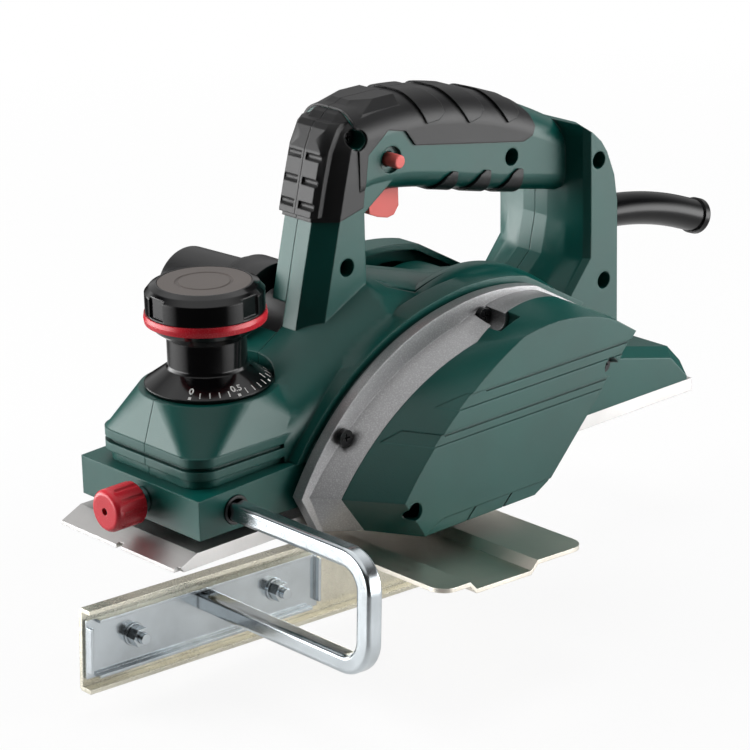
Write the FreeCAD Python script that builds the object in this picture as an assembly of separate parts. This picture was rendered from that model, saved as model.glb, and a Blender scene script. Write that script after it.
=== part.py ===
import FreeCAD, Part

import math
import os

# Electric hand planer.  Millimetres, +Z up, nose towards -X, belt side towards -Y.
# The origin is the middle of the rear sole's flat face.

V = FreeCAD.Vector
os.makedirs("parts", exist_ok=True)

# ------------------------------------------------------------------ driving sizes
planing_width = 82.0
sole_thickness = 6.5
rear_sole_length = 210.0
front_sole_length = 92.0
set_depth = 1.5                 # cutting depth that the dial shows at rest
running_fit = 0.05              # radial clearance of shafts in their bearings and bores
seat_gap = 0.25                 # clearance of loose seats
seam = 0.1                      # half the gap between the two housing shells
wall = 3.0                      # housing wall

cutting_radius = 24.0           # circle of the blade tips; it touches the rear sole's plane
drum_radius = 21.5
throat_clearance = 2.0          # between the blade circle and the sole edges
sole_edge = 1.2                 # thickness left on the sole edges at the throat
chamber_clearance = 3.0

sleeve_length = 81.0
sleeve_radius = 8.2

half_width = planing_width / 2
throat_radius = cutting_radius + throat_clearance
throat_half = math.sqrt(throat_radius ** 2 - (cutting_radius - sole_edge) ** 2)
cutter_x = -rear_sole_length / 2 - throat_half
cutter_z = cutting_radius
front_sole_rear = cutter_x - throat_half
front_sole_front = front_sole_rear - front_sole_length
nose_x = front_sole_front + 13.0          # front face of the block
block_bottom = sole_thickness + 6.3
block_top = 31.0
tail_x = rear_sole_length / 2 - 3.5       # rear face of the body

# bearings (608 size)
bearing_bore = 4.0
bearing_outer = 11.0
bearing_width = 7.0

# drive
motor_x = cutter_x + 93.5
motor_pulley_radius = 7.5
cutter_pulley_radius = 9.5
pulley_width = 8.0
belt_width = 7.4
belt_thickness = 1.8

# layout across the machine, from the belt side
face_y = -87.0                 # belt cover's face
cover_root_y = -62.0           # belt cover's rim on the bearing plate
plate_inner_y = -44.0          # bearing plate's inner face
plate_rim_y = -50.0            # where the plate's outer facet ends
pulley_y = cover_root_y - 1.5 - pulley_width
bearing_y = -57.0
drum_left_y = -half_width + 0.5
drum_right_y = half_width - 0.5
right_cheek_y = half_width + 1.0
barrel_end_y = 60.0
barrel_radius = 36.0
motor_z = barrel_radius + 9.0

# depth knob
knob_x = cutter_x - 50.0
dial_z = 66.0
dial_radius = 28.5
neck_radius = 17.8
dial_bottom = dial_z - 1.2
cap_top = dial_z + 46.0
cap_radius = 26.6
dial_height = 8.5
neck_height = 14.0
spindle_radius = 4.0
lift_post_radius = 10.0
nut_radius = 7.0

# handle
pillar_half = 18.0
grip_half = 18.5
rear_pillar_half = 30.6        # half the width across the rear pillar's side panels
rear_face_half = 19.0          # half the width of its rear face
pillar_rear_x = cutter_x + 29.0
rear_face_x = cutter_x + 190.5

# parallel guide
bar_size = 8.5
bar_round = 2.0
bar_x = nose_x + 20.5
bar_z = 21.8
bush_wall = 1.3
bar_outer_y = -127.0
bar_drop = 48.0
bar_tip_y = 30.0
guide_web_y = -16.0
guide_droop = 2.8              # the bar turns this far in its round bush before the clamp holds it
fence_front = nose_x - 46.5
fence_length = 207.0
fence_height = 38.5
sheet = 2.0
guard_outer_y = -131.5
guard_width = 88.0
guard_channel = 33.0
guard_joggle = 4.0


def about_cutter(pairs):
    """Points given from the cutter axis' foot."""
    return [(cutter_x + x, z) for x, z in pairs]


# flank outlines
flank_bottom = 1.6
flank_rear = [(140.0, 64.0), (82.0, 6.0), (72.5, flank_bottom)]
slab_outline = about_cutter([(-31.5, flank_bottom), (-41.0, 20.0), (-0.5, 64.5), (55.5, 86.5),
                             (79.5, 88.0), (105.5, 84.0)] + flank_rear)
crease_outline = about_cutter([(-29.0, flank_bottom), (-36.5, 20.0), (3.5, 56.5), (55.5, 77.5),
                               (79.5, 83.8), (105.5, 82.0)] + flank_rear)
root_outline = about_cutter([(-15.5, flank_bottom), (-28.5, 20.0), (7.5, 53.0), (55.5, 72.0),
                             (79.5, 83.0), (105.5, 81.5)] + flank_rear)
face_outline = about_cutter([(-1.5, flank_bottom), (-13.5, 20.5), (21.0, 55.5), (60.5, 79.0),
                             (82.5, 81.0), (118.5, 73.0), (133.0, 64.0), (75.5, 6.0), (67.0, flank_bottom)])

# base frame
base_wall = 3.0
bush_inner = math.sqrt(2) * (bar_size / 2 - bar_round) + bar_round + 0.12
bush_outer = bush_inner + bush_wall
clamp_y = -2.0
clamp_screw_radius = 3.0
chamber_radius = cutting_radius + chamber_clearance
chamber_outer = chamber_radius + base_wall
body_top = 35.0

# chip path
ejector_radius = 20.0
ejector_tip_radius = 18.6
ejector_wall = 1.8
ejector_x = cutter_x + 3.5
ejector_z = 80.0
ejector_tip_y = 78.0
socket_y0 = pillar_half - wall - 0.3
socket_y1 = 34.0
duct_front = cutter_x - 15.0
duct_rear = cutter_x + 20.0
duct_left = -11.0
duct_right = socket_y0

# housing
dome_front = nose_x + 4.0
dome_half = 36.0
dome_shoulder_z = 46.0
body_rear_x = cutter_x + 177.5
# the body's back: stations along the machine with the height of its crown
back_stations = [(pillar_rear_x, 101.0), (cutter_x + 84.5, 84.0), (cutter_x + 123.5, 77.0)]
hump_stations = about_cutter([(47.0, 82.0), (70.0, 91.0), (96.0, 92.0), (120.0, 83.0), (142.0, 68.0)])
# the grip: stations along the machine with the heights of its underside and its top
grip_stations = [(cutter_x + x, z0, z1) for x, z0, z1 in ((25.5, 134.0, 175.0), (57.5, 133.5, 176.2),
                                                          (97.5, 124.5, 170.4), (132.5, 116.5, 158.6),
                                                          (165.5, 109.0, 142.0))]
# rear pillar, seen from the side: outline of the side panels and of the middle
panel_side = about_cutter([(122.5, 28.0), (122.5, 149.0), (155.5, 146.0), (163.2, 141.4),
                           (169.1, 136.0), (173.0, 130.3), (177.9, 118.1), (179.9, 104.9), (179.9, 28.0)])
middle_side = about_cutter([(122.5, 28.0), (122.5, 153.0), (163.5, 144.5), (175.4, 136.8),
                            (181.3, 131.4), (185.2, 125.6), (190.2, 113.2), (190.5, 99.9), (190.5, 28.0)])
# its front face: height, place of the centre line, and how far the side edges lie behind that
front_levels = [(26.0, 128.0, 14.0), (60.0, 128.0, 14.0), (80.0, 151.1, 8.0), (98.0, 155.2, 4.2),
                (125.0, 155.8, 3.6), (156.0, 155.8, 3.6)]
panel_edge = 2.8
screw_head = 3.4
screw_shank = 1.7
screw_recess = 4.2
boss_radius = 5.2
shell_screw_places = about_cutter([(25.7, 163.5), (121.5, 136.0), (167.4, 127.2), (170.7, 67.0),
                                   (17.7, 106.0)])
trigger_x0 = cutter_x + 41.5
trigger_x1 = cutter_x + 59.5
trigger_half = 7.5
button_x = cutter_x + 45.5
button_z = 150.5
button_radius = 3.2
button_pocket = 3.0               # the round pocket in the grip is this much larger than the button
vent_count = 9
scoop_x = cutter_x + 40.0
scoop_depth = 7.0
# soft skin of the handle: its thickness and its lower edge, seen from the side
rubber = 1.2
rubber_edge = about_cutter([(-22.5, 128.4), (12.6, 128.4), (27.5, 132.0), (30.9, 155.6), (43.4, 164.8),
                            (54.0, 162.2), (59.7, 154.5), (128.3, 142.2), (134.1, 143.9),
                            (136.7, 148.1), (135.4, 153.4), (131.9, 158.3), (97.5, 195.0), (-22.5, 195.0)])
# raised scales on the grip: one outline, and for each its foot, size and lean in degrees
scale_outline = [(-10.0, 24.0), (-6.1, 14.6), (-3.1, 7.5), (0.0, 0.0), (7.7, 0.4), (11.6, 2.9),
                 (11.1, 8.0), (5.8, 14.7), (1.0, 24.0)]
scale_places = [(cutter_x + 66.4, 163.3, 1.0, 0.0), (cutter_x + 92.8, 158.4, 0.97, 7.0),
                (cutter_x + 118.0, 153.5, 0.8, 5.0)]
scale_height = 0.9
tongue_half = 13.0
tongue_height = 1.5
tongue_bottom = 130.5
tongue_top = 171.0
dent_heights = (135.5, 146.0, 156.8)
dent_radius = 2.0
finger_pitch = 21.0

# belt side
plate_wall = 3.2
cover_wall = 2.1
band_screws = about_cutter([(-17.0, 43.5), (68.8, 79.0)])
cover_screw = (cutter_x + 116.5, 50.5)
cover_hole = (cutter_x - 7.6, 15.2)
recess_floor_y = -51.0
pocket_depth = 8.0
strip_depth = 0.7
# stepped strips of the cover: upper left corner, height and how far the lower corner lies ahead
cover_strips = [(cutter_x + 27.2, 60.6, 5.8, 11.5), (cutter_x + 1.5, 46.2, 4.7, 8.5)]
strip_length = 140.0
trim_top = 7.2
trim_splits = (cutter_x + 29.5, cutter_x + 52.1)

# drive
rear_bearing_y = 44.0
fan_radius = barrel_radius - 5.0
rotor_radius = 21.0
air_gap = 0.6
stack_length = 44.0
commutator_radius = 11.0
shaft_radius = 5.0
blade_angles = (35.0, 215.0)
blade_thick = 1.2
blade_root = 17.5
bar_thick = 3.6
slot_root = 15.0
belt_gap = 0.3

# controls
ring_height = 4.4
sleeve_z = 88.5
sleeve_bore = 3.6
sleeve_mouth = 12.0

# clamp of the guide bar
clamp_knob_radius = 9.7
clamp_knob_length = 17.0
clamp_collar_length = 3.8

# parallel guide
bend_radius = 13.0
tray_half = 66.0
tray_height = 27.0
guide_z = bar_z - bar_drop - 6.6
bolt_z = guide_z + 1.0
bolt_span = 81.0
guard_top = 0.9
guard_front = cutter_x - 33.0
guard_leg_front = cutter_x + 4.0

written = []


def save(name, shape):
    """Write one sub-part."""
    solids = shape.Solids
    if not solids:
        raise RuntimeError(name + " has no solid")
    out = solids[0] if len(solids) == 1 else Part.makeCompound(solids)
    if not out.isValid():
        raise RuntimeError(name + " isn't valid")
    out.exportStep("parts/" + name + ".step")
    written.append((name, len(solids), out.Volume))


# ------------------------------------------------------------------ helpers
def box(x0, x1, y0, y1, z0, z1):
    return Part.makeBox(x1 - x0, y1 - y0, z1 - z0, V(x0, y0, z0))


def cyl_x(y, z, radius, x0, x1):
    return Part.makeCylinder(radius, x1 - x0, V(x0, y, z), V(1, 0, 0))


def cyl_y(x, z, radius, y0, y1):
    return Part.makeCylinder(radius, y1 - y0, V(x, y0, z), V(0, 1, 0))


def cyl_z(x, y, radius, z0, z1):
    return Part.makeCylinder(radius, z1 - z0, V(x, y, z0), V(0, 0, 1))


def ring_y(x, z, inner, outer, y0, y1):
    return cyl_y(x, z, outer, y0, y1).cut(cyl_y(x, z, inner, y0 - 1, y1 + 1))


def polygon(points):
    return Part.makePolygon(points + [points[0]])


def prism_y(outline, y0, y1):
    """Straight-sided outline of (x, z) pairs, pushed along Y."""
    face = Part.Face(polygon([V(x, y0, z) for x, z in outline]))
    return face.extrude(V(0, y1 - y0, 0))


def prism_x(outline, x0, x1):
    """Straight-sided outline of (y, z) pairs, pushed along X."""
    face = Part.Face(polygon([V(x0, y, z) for y, z in outline]))
    return face.extrude(V(x1 - x0, 0, 0))


def fuse(shapes):
    out = shapes[0]
    if len(shapes) > 1:
        out = out.fuse(shapes[1:])
    return out.removeSplitter()


def revolve_z(x, y, outline):
    """Closed outline of (radius, z) pairs turned round the vertical at x, y."""
    face = Part.Face(polygon([V(x + r, y, z) for r, z in outline]))
    return face.revolve(V(x, y, 0), V(0, 0, 1), 360)


def largest(shape):
    return max(shape.Solids, key=lambda s: s.Volume)


def round_rect(x0, x1, y0, y1, radius, z):
    """Rounded rectangle wire in a level plane."""
    b = Part.Face(polygon([V(x0, y0, z), V(x1, y0, z), V(x1, y1, z), V(x0, y1, z)]))
    solid = b.extrude(V(0, 0, 1))
    uprights = [e for e in solid.Edges if abs(e.tangentAt(e.FirstParameter).z) > 0.9]
    solid = solid.makeFillet(radius, uprights)
    bottom = min(solid.Faces, key=lambda f: f.CenterOfMass.z)
    return bottom.OuterWire


def section_x(x, half, z0, z1, top_round, bottom_round, centre=0.0):
    """Upright rounded section wire across the machine, as eight edges."""
    t = top_round
    b = bottom_round
    s = math.sqrt(0.5)
    edges = [Part.makeLine(V(x, -half + b, z0), V(x, half - b, z0)),
             Part.Arc(V(x, half - b, z0), V(x, half - b + b * s, z0 + b - b * s),
                      V(x, half, z0 + b)).toShape(),
                      Part.makeLine(V(x, half, z0 + b), V(x, half, z1 - t)),
                      Part.Arc(V(x, half, z1 - t), V(x, half - t + t * s, z1 - t + t * s),
                               V(x, half - t, z1)).toShape(),
                               Part.makeLine(V(x, half - t, z1), V(x, -half + t, z1)),
                               Part.Arc(V(x, -half + t, z1), V(x, -half + t - t * s, z1 - t + t * s),
                                        V(x, -half, z1 - t)).toShape(),
                                        Part.makeLine(V(x, -half, z1 - t), V(x, -half, z0 + b)),
                                        Part.Arc(V(x, -half, z0 + b),
                                                 V(x, -half + b - b * s, z0 + b - b * s),
                                                 V(x, -half + b, z0)).toShape()]
    wire = Part.Wire(edges)
    wire.translate(V(0, centre, 0))
    return wire


def shrunk(outline, d):
    """The same convex outline, listed clockwise or not, with each side moved inwards by d."""
    n = len(outline)
    area = sum(outline[k - 1][0] * outline[k][1] - outline[k][0] * outline[k - 1][1] for k in range(n))
    turn = math.copysign(1.0, area)
    out = []
    for k in range(n):
        (ax, az), (bx, bz), (cx, cz) = outline[k - 1], outline[k], outline[(k + 1) % n]
        first = math.atan2(bz - az, bx - ax)
        second = math.atan2(cz - bz, cx - bx)
        bend = math.remainder(second - first, 2 * math.pi) / 2
        normal = first + bend + turn * math.pi / 2
        reach = d / math.cos(bend)
        out.append((bx + reach * math.cos(normal), bz + reach * math.sin(normal)))
    return out


def loft_y(outlines):
    """Straight-ruled solid through (x, z) outlines, each given with its y."""
    wires = [polygon([V(x, y, z) for x, z in outline]) for y, outline in outlines]
    return Part.makeLoft(wires, True, True)


def loft_z(outlines):
    """Straight-ruled solid through (x, y) outlines, each given with its z."""
    wires = [polygon([V(x, y, z) for x, y in outline]) for z, outline in outlines]
    return Part.makeLoft(wires, True, True)


# ------------------------------------------------------------------ soles
def front_sole():
    z0 = set_depth
    z1 = z0 + sole_thickness
    lip = 11.0
    outline = [(front_sole_front, z0), (front_sole_rear, z0), (front_sole_rear, z1),
               (front_sole_front + lip, z1), (front_sole_front, z0 + 1.6)]
    plate = prism_y(outline, -half_width, half_width)
    plate = plate.cut(cyl_y(cutter_x, cutter_z, throat_radius + set_depth, -half_width - 1, half_width + 1))
    groove = 3.2
    for y in (0.0, -half_width + 1.0):
        notch = prism_y([(front_sole_front - 1, z0 - 1), (front_sole_front + 4, z0 - 1),
                         (front_sole_front - 1, z1)], y - groove / 2, y + groove / 2)
        plate = plate.cut(notch)
    post = cyl_z(knob_x, 0, lift_post_radius, z1 - 1, block_top + 3)
    post = post.cut(cyl_z(knob_x, 0, nut_radius + running_fit, z1 + 4, block_top + 4))
    return fuse([plate, post])


def lift_nut():
    z1 = set_depth + sole_thickness + 4
    nut = cyl_z(knob_x, 0, nut_radius, z1, block_top + 3)
    return nut.cut(cyl_z(knob_x, 0, spindle_radius + running_fit, z1 - 1, block_top + 4))


def rear_sole():
    plate = box(-rear_sole_length / 2, rear_sole_length / 2, -half_width, half_width, 0, sole_thickness)
    plate = plate.cut(cyl_y(cutter_x, cutter_z, throat_radius, -half_width - 1, half_width + 1))
    for x, y in sole_screw_places():
        plate = plate.cut(cyl_z(x, y, 2.5, -1, sole_thickness + 1))
        plate = plate.cut(Part.makeCone(5.0, 2.5, 2.5, V(x, y, 0)))
    return plate


def sole_screw_places():
    return [(x, y) for x in (cutter_x + 41.5, tail_x - 23.5) for y in (-27.0, 27.0)]


def sole_screws():
    out = []
    for x, y in sole_screw_places():
        head = Part.makeCone(4.6, 2.2, 2.4, V(x, y, 0.4))
        shank = cyl_z(x, y, 2.2, 0.5, sole_thickness + 9)
        socket = box(x - 2.2, x + 2.2, y - 0.5, y + 0.5, 0, 1.4)
        cross = box(x - 0.5, x + 0.5, y - 2.2, y + 2.2, 0, 1.4)
        out.append(fuse([head, shank]).cut(socket).cut(cross))
    return Part.makeCompound(out)


# ------------------------------------------------------------------ flank outlines
def flank(points, y):
    """Outline of the belt side: two lines, two arcs over the top, three lines down the rear."""
    a, b, m1, c, m2, d, e, f, g = [V(x, y, z) for x, z in points]
    edges = [
        Part.makeLine(a, b),
        Part.Arc(b, m1, c).toShape(),
        Part.Arc(c, m2, d).toShape(),
        Part.makeLine(d, e),
        Part.makeLine(e, f),
        Part.makeLine(f, g),
        Part.makeLine(g, a),
    ]
    return Part.Wire(edges)


def flank_slab(outline, y0, y1, grow):
    face = Part.Face(flank(outline, y0))
    if grow:
        face = face.makeOffset2D(grow, 2)
    return face.extrude(V(0, y1 - y0, 0))


def flank_loft(outline_a, y_a, outline_b, y_b, grow=0.0):
    wires = []
    for outline, y in ((outline_a, y_a), (outline_b, y_b)):
        wire = flank(outline, y)
        if grow:
            wire = Part.Face(wire).makeOffset2D(grow, 2).OuterWire
        wires.append(wire)
    return Part.makeLoft(wires, True, True)


# ------------------------------------------------------------------ base frame


def base_outside():
    block = prism_y([(nose_x, block_bottom), (cutter_x, block_bottom), (cutter_x, block_top + 2),
                     (cutter_x - 36, block_top + 2), (nose_x, block_top)], -half_width, half_width)
    rear = prism_y([(cutter_x, sole_thickness), (tail_x, sole_thickness), (tail_x, 15.6),
                    (tail_x - 9, 25.0), (tail_x - 49.5, body_top), (cutter_x, body_top)], -half_width,
                    half_width)
    long_edges = [e for e in rear.Edges if abs(e.CenterOfMass.y) > half_width - 0.1
                  and e.CenterOfMass.z > 20 and e.CenterOfMass.x > 20]
    rear = rear.makeChamfer(5.0, long_edges)
    drum_case = cyl_y(cutter_x, cutter_z, chamber_outer, plate_inner_y, half_width + 3.0)
    drum_case = drum_case.cut(box(cutter_x - 60, cutter_x, -60, 60, -20, block_bottom))
    drum_case = drum_case.cut(box(cutter_x, cutter_x + 60, -60, 60, -20, sole_thickness))
    return fuse([block, rear, drum_case])


def base_frame():
    out = base_outside()
    # right cheek with its bearing seat
    cheek = cyl_y(cutter_x, cutter_z, bearing_outer + 3.5, half_width, right_cheek_y + bearing_width + 3.0)
    cheek = cheek.cut(box(cutter_x - 40, cutter_x + 40, 0, 80, -20, block_bottom - 3.3))
    out = fuse([out, cheek])
    # cutter chamber, open below
    out = out.cut(cyl_y(cutter_x, cutter_z, chamber_radius, plate_inner_y - 1, half_width))
    out = out.cut(cyl_y(cutter_x, cutter_z, bearing_outer - 2, half_width - 1, right_cheek_y + 1))
    out = out.cut(cyl_y(cutter_x, cutter_z, bearing_outer + running_fit, right_cheek_y,
                        right_cheek_y + bearing_width))
    # chip mouth
    out = out.cut(box(duct_front + 3, duct_rear - 3, duct_left + 3, duct_right - 3, cutter_z,
                      chamber_outer + cutter_z + 5))
    # hollow tail, with bosses for the sole screws
    hollow = prism_y([(cutter_x + 33.5, sole_thickness - 1), (tail_x - base_wall, sole_thickness - 1),
                      (tail_x - base_wall, 14.0), (tail_x - 11, 22.0),
                      (tail_x - 51, body_top - base_wall), (cutter_x + 33.5, body_top - base_wall)],
                      -half_width + base_wall, half_width - base_wall)
    bosses = [cyl_z(x, y, 5.0, sole_thickness, body_top) for x, y in sole_screw_places()]
    hollow = hollow.cut(Part.makeCompound(bosses))
    out = out.cut(hollow)
    for x, y in sole_screw_places():
        out = out.cut(cyl_z(x, y, 2.2 + running_fit, 0, sole_thickness + 12))
    # motor barrel's bed
    out = out.cut(cyl_y(motor_x, motor_z, barrel_radius + seat_gap, -80, 80))
    # pockets in the block
    for side in (-1, 1):
        y0, y1 = sorted((side * 14.0, side * (half_width - base_wall)))
        out = out.cut(box(bar_x + bush_outer + 3, cutter_x - chamber_outer - 3, y0, y1,
                          block_bottom - 1, block_top - 4))
    # bores: guide bar, clamp screw, lift post
    out = out.cut(cyl_y(bar_x, bar_z, bush_outer + running_fit, -half_width - 1, half_width + 1))
    out = out.cut(cyl_x(clamp_y, bar_z, clamp_screw_radius + running_fit, nose_x - 1, bar_x))
    out = out.cut(cyl_z(knob_x, 0, lift_post_radius + running_fit, 0, block_top + 10))
    return out


def rod_bush():
    tube = ring_y(bar_x, bar_z, bush_inner, bush_outer, -half_width - 0.8, half_width + 0.8)
    return tube.cut(cyl_x(clamp_y, bar_z, clamp_screw_radius + 0.3, nose_x, bar_x))


# ------------------------------------------------------------------ chip path


def chip_duct():
    """Box channel from the chamber's mouth up to the socket."""
    z0 = cutter_z + chamber_outer - 2.5

    def profile(t):
        return [(duct_front + t, z0), (duct_front + t, 56.0), (duct_front + 16 + t, 76.0),
                (duct_front + 22 + t, 88.0 - t), (duct_rear - t, 88.0 - t), (duct_rear - t, z0)]
    shell = prism_y(profile(0.0), duct_left, duct_right)
    hollow = prism_y([(x, z if z > z0 else z0 - 1) for x, z in profile(2.0)], duct_left + 2, duct_right - 2)
    shell = shell.cut(hollow)
    shell = shell.cut(cyl_y(ejector_x, ejector_z, 13.0, duct_right - 5, duct_right + 5))
    return shell.cut(cyl_y(cutter_x, cutter_z, chamber_outer + seat_gap, duct_left - 1, duct_right + 1))


def chip_socket():
    outer = cyl_y(ejector_x, ejector_z, ejector_radius + 4.2, socket_y0, socket_y1)
    outer = outer.makeChamfer(1.5, [e for e in outer.Edges if abs(e.CenterOfMass.y - socket_y1) < 0.1
                                    and e.Closed])
    return outer.cut(cyl_y(ejector_x, ejector_z, ejector_radius + running_fit, socket_y0 + 3,
                           socket_y1 + 1)).cut(cyl_y(ejector_x, ejector_z, 13.0, socket_y0 - 1, socket_y1))


def chip_ejector():
    """Plain tube, tapered towards the hose."""
    y0 = socket_y0 + 3.5
    straight = cyl_y(ejector_x, ejector_z, ejector_radius, y0, socket_y1 + 4)
    taper = Part.makeCone(ejector_radius, ejector_tip_radius, ejector_tip_y - socket_y1 - 4,
                          V(ejector_x, socket_y1 + 4, ejector_z), V(0, 1, 0))
    collar = cyl_y(ejector_x, ejector_z, ejector_radius + 2.4, socket_y1 + 0.3, socket_y1 + 3.3)
    bore = cyl_y(ejector_x, ejector_z, ejector_tip_radius - ejector_wall, y0 - 1, ejector_tip_y + 1)
    return fuse([straight, taper, collar]).cut(bore)


# ------------------------------------------------------------------ housing


def dome(inset):
    x0 = dome_front + inset
    x1 = cutter_x + 5.0
    h = dome_half - inset
    r = 12.0 - inset / 2
    floor = block_top - 2.0
    low = Part.Face(round_rect(x0 + 2, x1, -h + 2, h - 2, r, floor)).extrude(V(0, 0,
                                                                               dome_shoulder_z - floor - 1))
    ridges = []
    for z in (36.0, 42.0):
        if inset == 0.0:
            ridges.append(Part.Face(round_rect(x0, x1, -h, h, r, z)).extrude(V(0, 0, 4.0)))
    top = dial_radius + 2.5 - inset
    rim = round_rect(knob_x - top, knob_x + top, -top, top, top - 0.5, dial_z - 1.5 - inset)
    base = round_rect(x0, knob_x + 40 - inset, -h, h, r, dome_shoulder_z - 1)
    crown = Part.makeLoft([base, rim], True, True)
    return fuse([low, crown] + ridges)


def back_section(x, crown, inset):
    return section_x(x, 44.8 - inset, block_top - 3, crown - inset, 43.6 - inset, 1.6, 3.0)


def neck(inset):
    """Body between the dome and the pillar, rising rearwards."""
    a = section_x(cutter_x - 38.0, 36.0 - inset, block_top - 2, 61.0 - inset, 20.0, 1.0)
    return Part.makeLoft([a, back_section(*back_stations[0], inset)], True, True)


def mid_body(inset):
    """The back under the handle falls rearwards to the tail."""
    wires = [back_section(x, crown, inset) for x, crown in back_stations]
    wires.append(section_x(body_rear_x - inset, 26.0 - inset, block_top - 3, 50.0 - inset, 16.0, 1.6))
    return fuse([Part.makeLoft(list(pair), True, True) for pair in zip(wires, wires[1:])])


def hump(inset):
    """Swelling behind the belt side's band."""
    wires = [section_x(x, 17.0 - inset, 40.0, crown - inset, 16.0 - inset, 1.0, -24.0)
             for x, crown in hump_stations]
    return Part.makeLoft(wires, True, False)


def barrel(inset):
    out = cyl_y(motor_x, motor_z, barrel_radius - inset, plate_inner_y + seat_gap, barrel_end_y - inset)
    if inset == 0.0:
        out = out.makeChamfer(5.0, [e for e in out.Edges if e.Closed and e.CenterOfMass.y > 50])
    return out


def pillar(inset):
    """Front pillar: six-sided, leaning back, with its head."""
    levels = [(60.0, -11.0, 0.0), (129.0, 5.5, 0.0), (145.0, 9.5, 0.0), (158.0 - inset / 2, 13.3, 0.3),
              (166.0 - inset, 17.5, 1.5), (172.5 - inset, 24.0, 4.0), (177.0 - inset, 34.0, 8.0)]
    wires = []
    for z, front, narrower in levels:
        x0 = cutter_x + front + inset
        x1 = pillar_rear_x - inset + (24.0 if z > 140 else 0.0)
        h = pillar_half - narrower - inset
        wires.append(polygon([V(x0, -h / 2, z), V(x0, h / 2, z), V(x0 + 9, h, z), V(x1, h, z),
                              V(x1, -h, z), V(x0 + 9, -h, z)]))
    return Part.makeLoft(wires, True, True)


def grip(inset):
    wires = [section_x(x, grip_half - inset, z0 + inset, z1 - inset, 14.0 - inset / 2, 9.0 - inset / 2)
             for x, z0, z1 in grip_stations]
    return Part.makeLoft(wires, True, False)


def rear_pillar(inset):
    """Wide rear pillar that spreads forward at its foot."""
    y1 = rear_pillar_half - inset
    y0 = rear_face_half
    side = loft_y([(-y1, shrunk(panel_side, inset)), (-y0, shrunk(middle_side, inset)),
                   (y0, shrunk(middle_side, inset)), (y1, shrunk(panel_side, inset))])
    levels = []
    e = rear_pillar_half - panel_edge
    for z, x, back in front_levels:
        x = cutter_x + x
        plan = [(x, -8.0), (x + 0.4 * back, -19.0), (x + back, -e),
                (x + back + panel_edge, -rear_pillar_half), (x + 80.0, -rear_pillar_half),
                (x + 80.0, rear_pillar_half), (x + back + panel_edge, rear_pillar_half), (x + back, e),
                (x + 0.4 * back, 19.0), (x, 8.0)]
        levels.append((z, shrunk(plan, inset)))
    return side.common(loft_z(levels))


def flank_flange(inset):
    rabbet_y = plate_inner_y + seat_gap + 1.6
    left = flank_slab(slab_outline, rabbet_y + inset, -30.0 + inset, 3.0 - inset)
    right = flank_slab(slab_outline, 30.0 - inset, -plate_inner_y - seat_gap - inset, 3.0 - inset)
    above = box(cutter_x - 60, body_rear_x, -60, 60, block_top + 2.0, 120)
    out = fuse([left, right])
    if inset == 0.0:
        out = fuse([out, flank_slab(slab_outline, rabbet_y - 1.6, rabbet_y + 1, -1.0)])
    return out.common(above)


def housing_solid(inset):
    upper = fuse([dome(inset), neck(inset), mid_body(inset), hump(inset), pillar(inset), grip(inset),
                  rear_pillar(inset), flank_flange(inset)])
    upper = upper.cut(base_outside())
    return fuse([upper, barrel(inset)])


def pointer():
    """Reading mark behind the dial."""
    z = dial_z
    top = Part.Face(polygon([V(knob_x + dial_radius + 0.8, 0, z + 5),
                             V(knob_x + dial_radius + 13, -5.5, z + 5),
                             V(knob_x + dial_radius + 13, 5.5, z + 5)]))
    return top.extrude(V(0, 0, -14))


def housing():
    """Both shells in one, before they are parted."""
    outer = housing_solid(0.0)
    outer = outer.cut(cyl_z(knob_x, 0, dial_radius + 0.8, dial_bottom - seat_gap, cap_top))
    inner = housing_solid(wall)
    inner = inner.cut(cyl_z(knob_x, 0, dial_radius + 0.8 + wall, dial_bottom - seat_gap - wall, cap_top))
    out = fuse([outer.cut(inner), pointer().cut(inner)])
    bosses = [cyl_y(x, z, boss_radius, -rear_pillar_half, rear_pillar_half).common(outer)
              for x, z in shell_screw_places]
    bearing_boss = cyl_y(motor_x, motor_z, bearing_outer + 3, rear_bearing_y, barrel_end_y - 1)
    guide = cyl_y(button_x, button_z, button_radius + button_pocket + 1.8, -grip_half + 1, -7.0)
    collar_seat = cyl_z(knob_x, 0, spindle_radius + 4, dial_z - 12, dial_z - 3)
    out = fuse([out] + bosses + [bearing_boss, guide, collar_seat])
    for x, z in shell_screw_places:
        out = out.cut(cyl_y(x, z, screw_recess, -60, -pillar_half + 9))
        out = out.cut(cyl_y(x, z, screw_shank + running_fit, -pillar_half + 8, 13.0))
    out = out.cut(cyl_y(motor_x, motor_z, bearing_outer + running_fit, rear_bearing_y - 1,
                        rear_bearing_y + bearing_width))
    # trigger slot, button bore, spindle bore, dial seat
    out = out.cut(box(trigger_x0 - 0.5, trigger_x1 + 0.5, -trigger_half - 0.5, trigger_half + 0.5, 118,
                      146))
    out = out.cut(cyl_y(button_x, button_z, button_radius + 0.3, -30, 0))
    out = out.cut(cyl_y(button_x, button_z, button_radius + button_pocket, -30, -grip_half + 2.2))
    out = out.cut(cyl_z(knob_x, 0, spindle_radius + running_fit, dial_z - 20, dial_z + 5))
    # cord sleeve's seat in the rear wall
    out = out.cut(cyl_x(0, sleeve_z, sleeve_radius + 0.9, rear_face_x - 6, rear_face_x + 2))
    # chip socket's seat, chip duct's way
    out = out.cut(cyl_y(ejector_x, ejector_z, ejector_radius + 4.2 + seat_gap, socket_y0 - seat_gap, 60))
    out = out.cut(cyl_y(ejector_x, ejector_z, 13.0, 0, 60))
    # room for the cutter's case
    out = out.cut(cyl_y(cutter_x, cutter_z, chamber_outer + seat_gap, -60, 60))
    # cooling slots: one across the back, a row in the barrel's end
    out = out.cut(vent_slots())
    return out


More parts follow.
